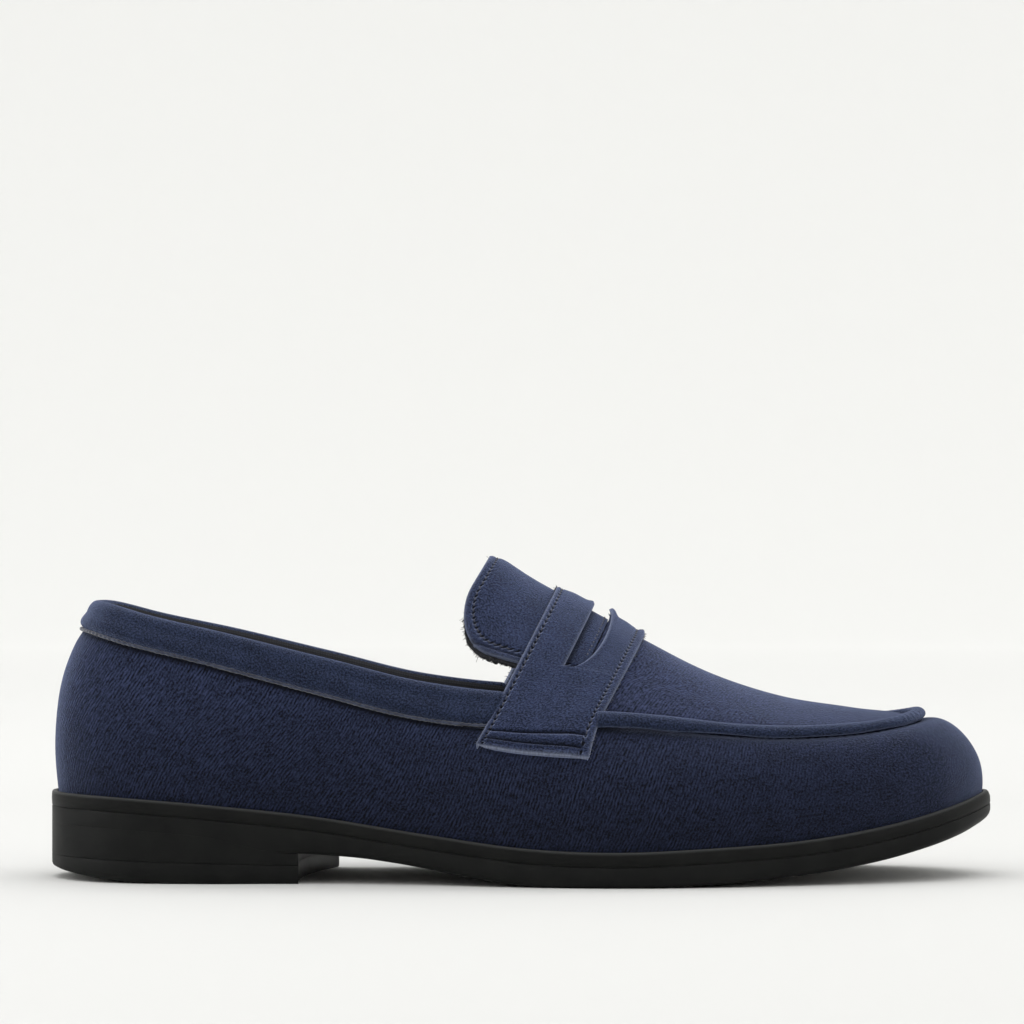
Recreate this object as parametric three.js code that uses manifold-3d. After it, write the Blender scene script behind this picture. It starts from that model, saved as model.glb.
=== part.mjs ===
// A penny loafer for the right foot, size EU 42, as a cemented shoe: a sole of rand, outsole, heel block and
// top piece, an insole with its shank and filler, and a moccasin upper of side wall, apron, tongue, saddle strap
// and padded collar.
// Millimetres, +Z up, +X to the toe, -Y is the outer (lateral) side, and the floor is z = 0.
import * as THREE from "three";
import { mergeVertices } from "three/addons/utils/BufferGeometryUtils.js";
import Module from "manifold-3d";

// ---- Driving dimensions ----

// The shape of the last, from the middle of the heel (station 0) to the tip of the toe (station 12).
// edge: the top edge of the sole, as x, lateral y, medial y and z.
// rail: the top of the side wall, as x, lateral y, medial y and z. It is the collar's seam behind the strap and
// the apron's ridge before it.
// lean: how far the wall leans inwards at the rail, in degrees.
// rake: how far the collar leans to the toe, per mm of height.
const LAST = [
  { edge: [-148.5, 0, 0, 27.2], rail: [-139, 0, 0, 78], lean: 20, rake: 0 },
  { edge: [-143, -17.5, 17.5, 27.1], rail: [-134.3, -14.5, 14.5, 77], lean: 19, rake: 0 },
  { edge: [-127, -30.5, 31, 26.6], rail: [-120.5, -24.5, 24.5, 73.3], lean: 15, rake: 0 },
  { edge: [-100, -34.7, 34.7, 24.6], rail: [-94, -31, 30.5, 67], lean: 11, rake: 0.02 },
  { edge: [-65, -34.2, 33.4, 20.9], rail: [-61, -35.5, 34, 58.4], lean: 9, rake: 0.08 },
  { edge: [-30, -40, 34.8, 15.7], rail: [-33, -39.5, 37.5, 51.6], lean: 13, rake: 0.25 },
  { edge: [0, -47.8, 43.2, 12], rail: [-5, -42, 41, 49], lean: 27, rake: 0.45 },
  { edge: [28, -51.5, 49.8, 10.9], rail: [24, -40.3, 41, 50.4], lean: 41, rake: 0.45 },
  { edge: [58, -49, 51.5, 12], rail: [52, -37, 39.5, 48.2], lean: 51, rake: 0 },
  { edge: [88, -41, 47.4, 14], rail: [78, -32, 36, 46.4], lean: 58, rake: 0 },
  { edge: [115, -31, 40.5, 18.2], rail: [101.5, -24, 30, 46.9], lean: 63, rake: 0 },
  { edge: [136.5, -17, 29, 23.5], rail: [119, -12, 20, 48.6], lean: 70, rake: 0 },
  { edge: [148.5, 6, 6, 27.3], rail: [126.5, 4, 4, 49.4], lean: 74, rake: 0 },
];
const TOE = LAST.length - 1;
const ROUND = 2 * TOE;

// The crown of the instep, over the same stations, as x, y and z.
const CROWN_FROM = 3;
const CROWN = [
  [-43, 1, 124],
  [-24, 1.5, 111.5],
  [-5.3, 2, 99.3],
  [14.8, 2.5, 87.6],
  [38.3, 3, 74.9],
  [61, 3.5, 63.4],
  [83.5, 4, 56.4],
  [104, 4, 53.2],
  [118.8, 4, 51.4],
  [126.5, 4, 49.4],
];

// Sole: the under side of the outsole along x, and the layers above it.
const WEAR_FROM = 6; // the tread is flat on the floor from here
const WEAR_TO = 42; // to here
const TREAD = [
  [-69, 9.4],
  [-50, 8.2],
  [-34, 6],
  [-20, 3.2],
  [-6, 1],
  [WEAR_FROM, 0],
  [WEAR_TO, 0],
  [60, 1],
  [78, 2.3],
  [96, 4.2],
  [114, 7.3],
  [130, 11.3],
  [143, 15.4],
  [148.5, 18.6],
];
const RAND_HEIGHT = 4.5;
const RAND_THICK = 1.7;
const SEAT_THICK = 5; // the outsole over the heel
const BLEND_FROM = -100; // the outsole thickens from here to the breast
const BREAST_X = -69; // front of the heel on the lateral side
const BREAST_HOLLOW = 4;
const HEEL_TO = 4.7; // the heel's pieces are made to this station, then cut at the breast
const WING = 10; // how much further forward the medial corner of the heel reaches
const TOP_PIECE = 5.6;
const TOP_PIECE_RISE = 2;
const BEVEL_FROM = -108; // the top piece rises from the floor behind here
const BEVEL_RISE = 3.8;
const BOARD = 2.2;
const SOCK = 0.9;
const FOAM_HEEL = 3.2;
const FOAM_TOE = 1.5;
const MARGIN = 10; // the wall is turned in under the board by this much
const BOARD_LEVEL = 1.9;
const SHANK = { from: 2.7, to: 5.7, width: 13, plate: 1, rib: 0.5, ribWidth: 2 }; // from and to are stations
const NAIL = { head: 3, shaft: 1.3, headThick: 0.7, length: 17 };
const NAILS = [
  [-128, 0],
  [-116, -14],
  [-116, 14],
  [-92, -15],
  [-92, 15],
];

// Upper.
const GAP = 0.3; // between pieces that touch
const LEATHER = 1.6;
const WALL_INSET = RAND_THICK + GAP; // the wall's foot, in from the edge of the sole
const STIFFENER = 0.9;
const LINING = 0.9;
const LINING_DEPTH = 3.4;
const GRIP = 0.8;
const WALL_TRIM = 1.15; // the wall's top edge stays this far under the rail
const COLLAR = { foot: 1.2, height: 12, heelHeight: 10.2, round: 4.5, proud: 1.4, deep: 4, skin: 1.1 };
const COLLAR_END = 5.72; // stations
const PIPING = { radius: 0.8, out: 0.3 };
const RIDGE = { width: 4.4, height: 2.2, lift: 0.4 };
const STRAP_REAR = 5.8; // stations
const STRAP_FRONT = 7;
const STRAP_ARC = 0.86; // share of the strap's half length that lies on the instep
const STRAP = { lift: 0.35, thick: 1.6 };
const SLOT = { half: 0.62, rear: 0.43, width: 0.25, peak: 0.1 }; // shares of the strap's length and width
const BAR = { width: 3.8, height: 1.5, rear: 0.45, front: 0.6 };
const APRON_SEAM = 6.42; // the tongue is sewn to the apron here, under the slot
const TONGUE_END = 4.86;
const TONGUE_HALF = 0.8;
const TONGUE_ROUND = 0.3;

// The stations that every loft has its sections at, so that neighbours' facets lie side by side. They are closer
// round the heel and the toe. Side stations run round the whole shoe, with the heel at 0 and at ROUND.
const ENDS = [1 / 3, 2 / 3];
const MIDDLE = Array.from({ length: 2 * TOE - 3 }, (_, i) => 1 + i / 2);
const HALF_ROUND = [0, ...ENDS, ...MIDDLE, ...ENDS.map((f) => TOE - 1 + f)];
const SIDES = [...HALF_ROUND, ...HALF_ROUND.map((t) => ROUND - t).slice(1), TOE].sort((a, b) => a - b);

// ---- Curves of the last ----

// A Catmull-Rom curve through the rows of a table; u counts rows.
function through(rows, u, closed) {
  const n = rows.length;
  const i = closed ? Math.floor(u) : Math.min(Math.max(Math.floor(u), 0), n - 2);
  const f = u - i;
  const pick = (k) => (closed ? rows[(((i + k) % n) + n) % n] : rows[Math.min(Math.max(i + k, 0), n - 1)]);
  const [a, b, c, d] = [-1, 0, 1, 2].map(pick);
  return b.map((_, j) => {
    const slope = c[j] - a[j];
    const square = 2 * a[j] - 5 * b[j] + 4 * c[j] - d[j];
    const cube = 3 * b[j] - a[j] - 3 * c[j] + d[j];
    return b[j] + 0.5 * f * (slope + f * (square + f * cube));
  });
}

const lateral = (s, k) => [s[k][0], s[k][1], s[k][3]];
const medial = (s, k) => [s[k][0], s[k][2], s[k][3]];
const inner = LAST.slice(1, TOE).reverse();
const EDGE = [...LAST.map((s) => lateral(s, "edge")), ...inner.map((s) => medial(s, "edge"))];
const RAIL = [...LAST.map((s) => lateral(s, "rail")), ...inner.map((s) => medial(s, "rail"))];
const LEAN = [...LAST, ...inner].map((s) => [THREE.MathUtils.degToRad(s.lean), s.rake]);

const vec = ([x, y, z]) => new THREE.Vector3(x, y, z);
const railAt = (u) => vec(through(RAIL, u, true));

// The height at x on a line through rows of x and z.
function heightOn(rows, x) {
  const after = rows.findIndex((row) => row[0] > x);
  const i = after < 0 ? rows.length - 1 : Math.max(after, 1);
  const [x0, z0] = rows[i - 1];
  const [x1, z1] = rows[i];
  return THREE.MathUtils.lerp(z0, z1, THREE.MathUtils.clamp((x - x0) / (x1 - x0), 0, 1));
}

// The height of the under side of the outsole at x.
const treadAt = (x) => heightOn(TREAD, x);

// A point on the edge of the sole, moved in by inset, and the outward direction there. The height depends on x
// alone.
const EDGE_HEIGHTS = steps(0, TOE, 0.05).map((t) => through(EDGE, t, true)).map(([x, , z]) => [x, z]);
function edgeAt(u, inset = 0) {
  const small = 0.01;
  const p = vec(through(EDGE, u, true));
  const along = vec(through(EDGE, u + small, true)).sub(vec(through(EDGE, u - small, true)));
  const out = new THREE.Vector3(along.y, -along.x, 0).normalize();
  p.addScaledVector(out, -inset);
  return { p: p.setZ(heightOn(EDGE_HEIGHTS, p.x)), out };
}

// The outer face of the side wall: a Bezier from its foot (v = 0) to the rail (v = 1).
function wallFace(u, v) {
  const foot = edgeAt(u, WALL_INSET);
  const rail = railAt(u);
  const [lean] = through(LEAN, u, true);
  const long = rail.distanceTo(foot.p);
  const rise = 0.45 * long;
  const run = 0.4 * long;
  const belly = 0.12;
  const low = foot.p.clone().addScaledVector(foot.out, rise * belly).add(new THREE.Vector3(0, 0, rise));
  const high = rail.clone().addScaledVector(foot.out, run * Math.sin(lean));
  high.z -= run * Math.cos(lean);
  return new THREE.CubicBezierCurve3(foot.p, low, high, rail).getPoint(v);
}

// The outer face of the instep, an arch from the lateral rail (b = -1) over the crown to the medial (b = 1).
function instepFace(t, b) {
  const left = railAt(t);
  const right = railAt(ROUND - t);
  const crown = vec(through(CROWN, t - CROWN_FROM, false));
  const middle = left.clone().add(right).multiplyScalar(0.5);
  const arch = crown.sub(middle).multiplyScalar(1 - b * b);
  return middle.addScaledVector(right.sub(left), b / 2).add(arch);
}

// The outer face of the strap: p runs from its rear edge to its front edge, q from its lateral end to its
// medial end.
function strapFace(p, q) {
  const t = THREE.MathUtils.lerp(STRAP_REAR, STRAP_FRONT, p);
  const side = Math.sign(q);
  const past = (Math.abs(q) - STRAP_ARC) / (1 - STRAP_ARC);
  if (past <= 0) return instepFace(t, q / STRAP_ARC);
  const drop = THREE.MathUtils.lerp(0.15, 0.31, p);
  const back = THREE.MathUtils.lerp(0.11, 0.14, p);
  const u = t - back * past;
  return wallFace(side < 0 ? u : ROUND - u, 1 - drop * past);
}

// A point at a height above a face; below it, if the height is negative. The face's normal is dA x dB.
function above(face, a, b, height, [lowA, highA, lowB, highB]) {
  const small = 0.01;
  const a0 = Math.max(a - small, lowA);
  const a1 = Math.min(a + small, highA);
  const b0 = Math.max(b - small, lowB);
  const b1 = Math.min(b + small, highB);
  const alongA = face(a1, b).sub(face(a0, b));
  const alongB = face(a, b1).sub(face(a, b0));
  return face(a, b).addScaledVector(alongA.cross(alongB).normalize(), height);
}

const wall = (u, v, depth) => above(wallFace, u, v, -depth, [-Infinity, Infinity, 0, 1]);
const instep = (t, b, height) => above(instepFace, t, b, height, [0, TOE - 0.1, -1, 1]);
const strap = (p, q, height) => above(strapFace, p, q, height, [-1, 2, -1, 1]);

// A point of the collar's section: out from the wall's face, and up from the rail.
function collar(u, out, up) {
  const [, rake] = through(LEAN, u, true);
  const top = wall(u, 1, -out);
  const rise = wallFace(u, 1).sub(wallFace(u, 0.97)).normalize();
  const small = 0.05;
  const forward = railAt(u + small).x > railAt(u - small).x ? 1 : -1;
  const along = railAt(u + small).sub(railAt(u - small)).normalize();
  return top.addScaledVector(rise, up).addScaledVector(along, forward * rake * up);
}

// ---- Bodies ----

// A BufferGeometry from points and triangles of their numbers, with the collapsed triangles dropped.
function body(points, triangles) {
  const geometry = new THREE.BufferGeometry().setFromPoints(points);
  geometry.setIndex(triangles);
  const merged = mergeVertices(geometry, 1e-3);
  const ids = merged.index.array;
  const kept = [];
  for (let i = 0; i < ids.length; i += 3) {
    const [a, b, c] = ids.slice(i, i + 3);
    if (a !== b && b !== c && c !== a) kept.push(a, b, c);
  }
  merged.setIndex(kept);
  return merged;
}

// Joins closed sections of equal length into one body; the sections turn anticlockwise seen from the end.
function loft(sections, wrap = false) {
  const n = sections[0].length;
  const points = sections.flat();
  const triangles = [];
  const count = wrap ? sections.length : sections.length - 1;
  for (let i = 0; i < count; i++) {
    const here = i * n;
    const next = ((i + 1) % sections.length) * n;
    for (let j = 0; j < n; j++) {
      const k = (j + 1) % n;
      triangles.push(here + j, here + k, next + k, here + j, next + k, next + j);
    }
  }
  if (!wrap) {
    const end = (sections.length - 1) * n;
    for (let j = 1; j < n - 1; j++) triangles.push(0, j + 1, j, end, end + j, end + j + 1);
  }
  return body(points, triangles);
}

// A sheet with thickness: two grids of equal size, joined round their border.
function slab(outer, under, wrap = false) {
  const rows = outer.length;
  const columns = outer[0].length;
  const points = [...outer.flat(), ...under.flat()];
  const top = (i, j) => (i % rows) * columns + j;
  const low = (i, j) => rows * columns + top(i, j);
  const triangles = [];
  const quad = (a, b, c, d) => triangles.push(a, b, c, a, c, d);
  const count = wrap ? rows : rows - 1;
  for (let i = 0; i < count; i++) {
    for (let j = 0; j < columns - 1; j++) {
      quad(top(i, j), top(i + 1, j), top(i + 1, j + 1), top(i, j + 1));
      quad(low(i, j), low(i, j + 1), low(i + 1, j + 1), low(i + 1, j));
    }
    const last = columns - 1;
    quad(top(i, 0), low(i, 0), low(i + 1, 0), top(i + 1, 0));
    quad(top(i, last), top(i + 1, last), low(i + 1, last), low(i, last));
  }
  if (!wrap) {
    const last = rows - 1;
    for (let j = 0; j < columns - 1; j++) {
      quad(top(0, j), top(0, j + 1), low(0, j + 1), low(0, j));
      quad(top(last, j), low(last, j), low(last, j + 1), top(last, j + 1));
    }
  }
  return body(points, triangles);
}

// Numbers from first to last, no further apart than step, with both ends.
function steps(first, last, step) {
  const n = Math.max(1, Math.round((last - first) / step));
  return Array.from({ length: n + 1 }, (_, i) => first + ((last - first) * i) / n);
}

// The common stations between two ends, with both ends; below 0 they are those of the medial side.
function stations(first, last) {
  const near = 0.08;
  const all = [...SIDES.map((u) => u - ROUND), ...SIDES];
  return [first, ...all.filter((u) => u > first + near && u < last - near), last];
}

const grid = (as, bs, point) => as.map((a) => bs.map((b) => point(a, b)));

// A sheet of the wall, between two depths under its face.
function wallSheet(from, to, low, high, depth, thick, columns = 5) {
  const us = stations(from, to);
  const vs = steps(low, high, (high - low) / columns);
  return slab(grid(us, vs, (u, v) => wall(u, v, depth)), grid(us, vs, (u, v) => wall(u, v, depth + thick)));
}

// A sheet of the instep, between two depths under its face. half gives its half width as a share of the arch's.
function instepSheet(from, to, half, depth, thick, columns = 10) {
  const ts = stations(from, to);
  const bs = steps(-1, 1, 2 / columns);
  const at = (level) => grid(ts, bs, (t, b) => instep(t, b * half(t), -level));
  return slab(at(depth), at(depth + thick));
}

// A level sheet of the sole between two heights over its seat, which lies on the outsole inside the rand.
function layer(inset, low, high, from = 0, to = TOE) {
  const sections = stations(from, to).map((t) => {
    const left = edgeAt(t, inset).p;
    const right = edgeAt(ROUND - t, inset).p;
    const at = (p, level) => new THREE.Vector3(p.x, p.y, level(p.x, p.z - RAND_HEIGHT));
    return [at(left, low), at(right, low), at(right, high), at(left, high)];
  });
  return loft(sections);
}

// Heights for layer: a fixed distance over the seat.
const over = (height) => (x, seat) => seat + height;

// ---- Booleans ----

const wasm = await Module();
wasm.setup();

function solid(geometry) {
  const bare = new THREE.BufferGeometry().setAttribute("position", geometry.getAttribute("position"));
  if (geometry.index) bare.setIndex(geometry.index);
  const merged = mergeVertices(bare, 1e-4);
  return new wasm.Manifold(
    new wasm.Mesh({
      numProp: 3,
      vertProperties: new Float32Array(merged.attributes.position.array),
      triVerts: new Uint32Array(merged.index.array),
    }),
  );
}

function geometryOf(manifold) {
  const mesh = manifold.getMesh();
  return new THREE.BufferGeometry()
    .setAttribute("position", new THREE.BufferAttribute(mesh.vertProperties, 3))
    .setIndex(new THREE.BufferAttribute(mesh.triVerts, 1));
}

const without = (geometry, cutters) =>
  geometryOf(cutters.reduce((left, cutter) => left.subtract(solid(cutter)), solid(geometry)));

// ---- Materials ----

function finish(color, roughness, metalness = 0) {
  return new THREE.MeshStandardMaterial({ color, roughness, metalness });
}

const SUEDE = finish(0x26305a, 0.95);
const TWILL_SUEDE = finish(0x232c52, 0.95);
const PIPING_SUEDE = finish(0x2b3560, 0.9);
const RUBBER = finish(0x1c1d1e, 0.55);
const LINER = finish(0x23242a, 0.85);
const SOCK_LEATHER = finish(0x2a2b30, 0.8);
const FOAM = finish(0xd8cfae, 0.95);
const FIBREBOARD = finish(0xb79a6b, 0.9);
const CORK = finish(0x9c7448, 0.95);
const STEEL = finish(0x8f9296, 0.35, 1);

const loafer = new THREE.Group();
const tongueFlap = new THREE.Group();
loafer.add(tongueFlap);

function add(name, geometry, material, parent = loafer) {
  const mesh = new THREE.Mesh(geometry, material);
  mesh.name = name;
  parent.add(mesh);
}

// ---- Sole ----

// The under side of the outsole: the tread before the heel, a level seat over it.
function soleUnder(x, seat) {
  const forward = THREE.MathUtils.smoothstep(x, BLEND_FROM, BREAST_X);
  return THREE.MathUtils.lerp(seat - GAP - SEAT_THICK, treadAt(x), forward);
}

const topPieceTop = (x) => TOP_PIECE + TOP_PIECE_RISE * THREE.MathUtils.clamp((BREAST_X - x) / 80, -0.1, 1);

function heelFloor(x) {
  const back = Math.max(0, (BEVEL_FROM - x) / (BEVEL_FROM - LAST[0].edge[0]));
  return BEVEL_RISE * back * back;
}

// A nail with a flat head and a pointed shaft, or with extra clearance the hole for it.
function nail(extra) {
  const { head, shaft, headThick, length } = NAIL;
  const profile = [
    [0, -length - extra],
    [shaft + extra, 2 - length],
    [shaft + extra, -headThick - extra],
    [head + extra, -headThick - extra],
    [head + extra, extra > 0 ? 1 : 0],
    [0, extra > 0 ? 1 : 0],
  ];
  return new THREE.LatheGeometry(profile.map(([r, z]) => new THREE.Vector2(r, z)), 10).rotateX(Math.PI / 2);
}

// The top of the board at x, where a nail's head sits.
function nailTop(x) {
  const t = steps(0, TOE, 0.02).find((s) => edgeAt(s).p.x >= x);
  return edgeAt(t).p.z - RAND_HEIGHT + BOARD_LEVEL + BOARD;
}

const nailHoles = NAILS.map(([x, y]) => nail(GAP).translate(x, y, nailTop(x)));

// The heel's front is a hollow curve from its lateral corner to its medial one.
function breast() {
  const from = new THREE.Vector2(BREAST_X, LAST[4].edge[1]);
  const to = new THREE.Vector2(BREAST_X + WING, LAST[4].edge[2]);
  const chord = to.clone().sub(from);
  const half = chord.length() / 2;
  const radius = (half * half) / (2 * BREAST_HOLLOW) + BREAST_HOLLOW / 2;
  const forward = new THREE.Vector2(chord.y, -chord.x).normalize();
  const centre = from.add(to).multiplyScalar(0.5).addScaledVector(forward, radius - BREAST_HOLLOW);
  const drum = new THREE.CylinderGeometry(radius, radius, 80, 160).rotateX(Math.PI / 2);
  return drum.translate(centre.x, centre.y, 0);
}

const randSections = SIDES.map((u) => {
  const outer = edgeAt(u).p;
  const inside = edgeAt(u, RAND_THICK).p;
  const drop = new THREE.Vector3(0, 0, -RAND_HEIGHT);
  return [outer.clone().add(drop), inside.clone().add(drop), inside, outer];
});

add("outsole", without(layer(0, soleUnder, over(-GAP)), nailHoles), RUBBER);
add("rand", loft(randSections, true), RUBBER);
const blockTop = (x, seat) => soleUnder(x, seat) - GAP;
const blockFloor = (x) => topPieceTop(x) + GAP;
add("heel_block", without(layer(0, blockFloor, blockTop, 0, HEEL_TO), [breast(), ...nailHoles]), RUBBER);
add("heel_top_piece", without(layer(0, heelFloor, topPieceTop, 0, HEEL_TO), [breast()]), RUBBER);
NAILS.forEach(([x, y], i) => add(`heel_nail_${i + 1}`, nail(0).translate(x, y, nailTop(x)), STEEL));

// A strip of steel along the middle of the waist, with a rib pressed up in it.
function shank() {
  const { from, to, width, plate, rib, ribWidth } = SHANK;
  const across = [
    [-width / 2, 0],
    [-ribWidth, 0],
    [-ribWidth / 2, rib],
    [ribWidth / 2, rib],
    [ribWidth, 0],
    [width / 2, 0],
  ];
  const at = (height) =>
    grid(stations(from, to), across, (t, [y, z]) => {
      const middle = edgeAt(t).p.add(edgeAt(ROUND - t).p).multiplyScalar(0.5);
      return middle.add(new THREE.Vector3(0, y, z + height - RAND_HEIGHT));
    });
  return slab(at(plate), at(0));
}

add("shank", shank(), STEEL);
const fillerInset = WALL_INSET + MARGIN + GAP;
add("bottom_filler", layer(fillerInset, over(0), over(LEATHER), SHANK.to + 0.1, TOE - 0.45), CORK);
const boardInset = WALL_INSET + LEATHER + GAP;
const board = layer(boardInset, over(BOARD_LEVEL), over(BOARD_LEVEL + BOARD));
add("insole_board", without(board, nailHoles), FIBREBOARD);

const sockInset = WALL_INSET + LINING_DEPTH + LINING + GAP;
const footbed = BOARD_LEVEL + BOARD + GAP;
const foamTop = (x, seat) => {
  const forward = THREE.MathUtils.smoothstep(x, LAST[3].edge[0], LAST[5].edge[0]);
  return seat + footbed + THREE.MathUtils.lerp(FOAM_HEEL, FOAM_TOE, forward);
};
add("foot_pad", layer(sockInset, over(footbed), foamTop), FOAM);
const sockUnder = (x, seat) => foamTop(x, seat) + GAP;
const sockTop = (x, seat) => sockUnder(x, seat) + SOCK;
add("sock_lining", layer(sockInset, sockUnder, sockTop), SOCK_LEATHER);

// ---- Upper: wall, stiffeners and linings ----

// The share of the wall's height at a distance below the rail.
const below = (u, distance) => 1 - distance / railAt(u).distanceTo(edgeAt(u, WALL_INSET).p);

const wallSections = SIDES.map((u) => {
  const foot = (inset, height) => edgeAt(u, inset).p.add(new THREE.Vector3(0, 0, height - RAND_HEIGHT));
  const vs = steps(0, below(u, WALL_TRIM), 1 / 6);
  const margin = [
    foot(WALL_INSET, 0),
    foot(WALL_INSET + MARGIN, 0),
    foot(WALL_INSET + MARGIN, LEATHER),
    foot(WALL_INSET + LEATHER, LEATHER),
  ];
  return [...margin, ...vs.map((v) => wall(u, v, LEATHER)), ...vs.reverse().map((v) => wall(u, v, 0))];
});
add("side_wall", loft(wallSections, true), TWILL_SUEDE);

const stiffenerDepth = LEATHER + GAP;
add("heel_counter", wallSheet(-3.2, 3.2, 0.03, 0.72, stiffenerDepth, STIFFENER, 5), FIBREBOARD);
add("toe_puff", wallSheet(9.9, 14.1, 0.05, 0.86, stiffenerDepth, STIFFENER, 5), FIBREBOARD);
add("quarter_lining", wallSheet(-5.9, 5.9, 0.03, 0.94, LINING_DEPTH, LINING, 5), LINER);
add("vamp_lining", wallSheet(5.95, ROUND - 5.95, 0.03, 0.93, LINING_DEPTH, LINING, 5), LINER);
add("heel_grip", wallSheet(-2, 2, 0.45, 0.93, LINING_DEPTH + LINING + GAP, GRIP, 4), SOCK_LEATHER);

// ---- Upper: apron and its ridge ----

// The share of the instep's half width that stays a distance inside the rail.
function insideRail(t, distance) {
  return 1 - distance / (railAt(t).distanceTo(railAt(ROUND - t)) / 2);
}

add("apron", instepSheet(APRON_SEAM, TOE - 0.4, (t) => insideRail(t, 0.6), 0, LEATHER), TWILL_SUEDE);
const apronLiningHalf = (t) => insideRail(t, 3);
const apronLining = instepSheet(APRON_SEAM + 0.1, TOE - 0.8, apronLiningHalf, stiffenerDepth + 0.5, LINING);
add("apron_lining", apronLining, LINER);

// The ridge lies over the seam between wall and apron; its section is half an oval.
const ridgeSections = stations(STRAP_FRONT + 0.06, ROUND - STRAP_FRONT - 0.06).map((u) => {
  const across = wallFace(u, 1).sub(wallFace(u, 0.96)).normalize();
  const small = 0.01;
  const along = railAt(u + small).sub(railAt(u - small)).normalize();
  const up = along.clone().cross(across).normalize();
  const middle = railAt(u).addScaledVector(up, RIDGE.lift);
  return steps(0, 1, 1 / 7).map((f) => {
    const angle = Math.PI * f;
    const side = middle.clone().addScaledVector(across, (-Math.cos(angle) * -RIDGE.width) / 2);
    return side.addScaledVector(up, Math.sin(angle) * RIDGE.height);
  });
});
add("apron_ridge", loft(ridgeSections), SUEDE);

// ---- Upper: tongue and strap ----

function tongueHalf(t, trim = 0) {
  const fromTip = Math.max(0, (STRAP_REAR - t) / (STRAP_REAR - TONGUE_END));
  return TONGUE_HALF * (1 - TONGUE_ROUND * fromTip ** 3) - trim;
}

const tongueSkin = instepSheet(TONGUE_END, STRAP_REAR - 0.05, tongueHalf, 0, LEATHER);
add("tongue", tongueSkin, SUEDE, tongueFlap);
const liningHalf = (t) => tongueHalf(t, 0.03);
const tongueLining = instepSheet(TONGUE_END + 0.03, STRAP_REAR - 0.08, liningHalf, stiffenerDepth, LINING);
add("tongue_lining", tongueLining, LINER, tongueFlap);
add("tongue_base", instepSheet(STRAP_REAR + 0.02, APRON_SEAM - 0.02, tongueHalf, 0, LEATHER), SUEDE);

const strapBase = STRAP.lift;
const strapPs = steps(0, 1, 1 / 6);
const strapQs = [...steps(-1, -STRAP_ARC, 0.07), ...steps(-STRAP_ARC, STRAP_ARC, 0.09).slice(1, -1)];
strapQs.push(...steps(STRAP_ARC, 1, 0.07));
const strapSlab = slab(
  grid(strapPs, strapQs, (p, q) => strap(p, q, strapBase + STRAP.thick)),
  grid(strapPs, strapQs, (p, q) => strap(p, q, strapBase)),
);

// The front edge of the slot, a share of its half length s away from the crown.
function slotFront(s) {
  const lip = SLOT.width * Math.sqrt(Math.max(0, 1 - s ** 6));
  const peak = SLOT.peak * (1 - Math.abs(s)) ** 2;
  return SLOT.rear + Math.max(lip - peak, 0.002);
}

function slotCutter() {
  const ss = steps(-1, 1, 1 / 10);
  const rows = [0, 0.5, 1];
  const across = (f, s) => THREE.MathUtils.lerp(SLOT.rear, slotFront(s), f);
  const at = (f, s, height) => strap(across(f, s), s * SLOT.half, height);
  return slab(
    grid(rows, ss, (f, s) => at(f, s, strapBase + STRAP.thick + 2)),
    grid(rows, ss, (f, s) => at(f, s, strapBase - 2)),
  );
}

add("saddle_strap", without(strapSlab, [slotCutter()]), SUEDE);

// A padded bar along each low end of the strap.
function strapBar(side) {
  const sections = steps(0.1, 0.93, 0.83 / 8).map((p) => {
    const q = side * (STRAP_ARC + (1 - STRAP_ARC) * THREE.MathUtils.lerp(BAR.rear, BAR.front, p));
    const down = strap(p, q + side * 0.01, 0).sub(strap(p, q, 0)).normalize();
    const base = strapBase + STRAP.thick + GAP;
    const out = strap(p, q, 1).sub(strap(p, q, 0)).normalize();
    const middle = strap(p, q, base);
    return steps(0, 1, 1 / 6).map((f) => {
      const angle = Math.PI * f;
      const point = middle.clone().addScaledVector(down, (-side * Math.cos(angle) * -BAR.width) / 2);
      return point.addScaledVector(out, Math.sin(angle) * BAR.height);
    });
  });
  return loft(sections);
}
add("strap_bar_lateral", strapBar(-1), SUEDE);
add("strap_bar_medial", strapBar(1), SUEDE);

// ---- Upper: padded collar ----

// An arch of the collar's section, from its outer foot over the top to its inner foot, a skin's thickness in.
function collarArch(u, skin) {
  const outer = COLLAR.proud - skin;
  const inside = skin - COLLAR.deep;
  const middle = (outer + inside) / 2;
  const half = (outer - inside) / 2;
  const fromHeel = THREE.MathUtils.smoothstep(Math.abs(u), 0, 2);
  const height = THREE.MathUtils.lerp(COLLAR.heelHeight, COLLAR.height, fromHeel);
  const top = height - skin;
  const foot = [collar(u, outer, COLLAR.foot), collar(u, inside, COLLAR.foot)];
  const crown = steps(0, 1, 1 / 5).map((f) => {
    const angle = Math.PI * f;
    return collar(u, middle + half * Math.cos(angle), top - COLLAR.round + COLLAR.round * Math.sin(angle));
  });
  return [foot[0], ...crown, foot[1]];
}

const collarUs = stations(-COLLAR_END, COLLAR_END);
const collarSkin = collarUs.map((u) => [...collarArch(u, COLLAR.skin), ...collarArch(u, 0).reverse()]);
add("collar_band", loft(collarSkin), SUEDE);
const collarFoam = stations(-COLLAR_END + 0.05, COLLAR_END - 0.05);
add("collar_foam", loft(collarFoam.map((u) => collarArch(u, COLLAR.skin + GAP).reverse())), FOAM);
const pipingSections = collarUs.map((u) =>
  steps(0, 1 - 1 / 6, 1 / 6).map((f) => {
    const angle = 2 * Math.PI * f;
    return collar(u, PIPING.out - PIPING.radius * Math.cos(angle), PIPING.radius * Math.sin(angle));
  }),
);
add("collar_piping", loft(pipingSections), PIPING_SUEDE);

export default loafer;
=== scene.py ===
import math

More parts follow.
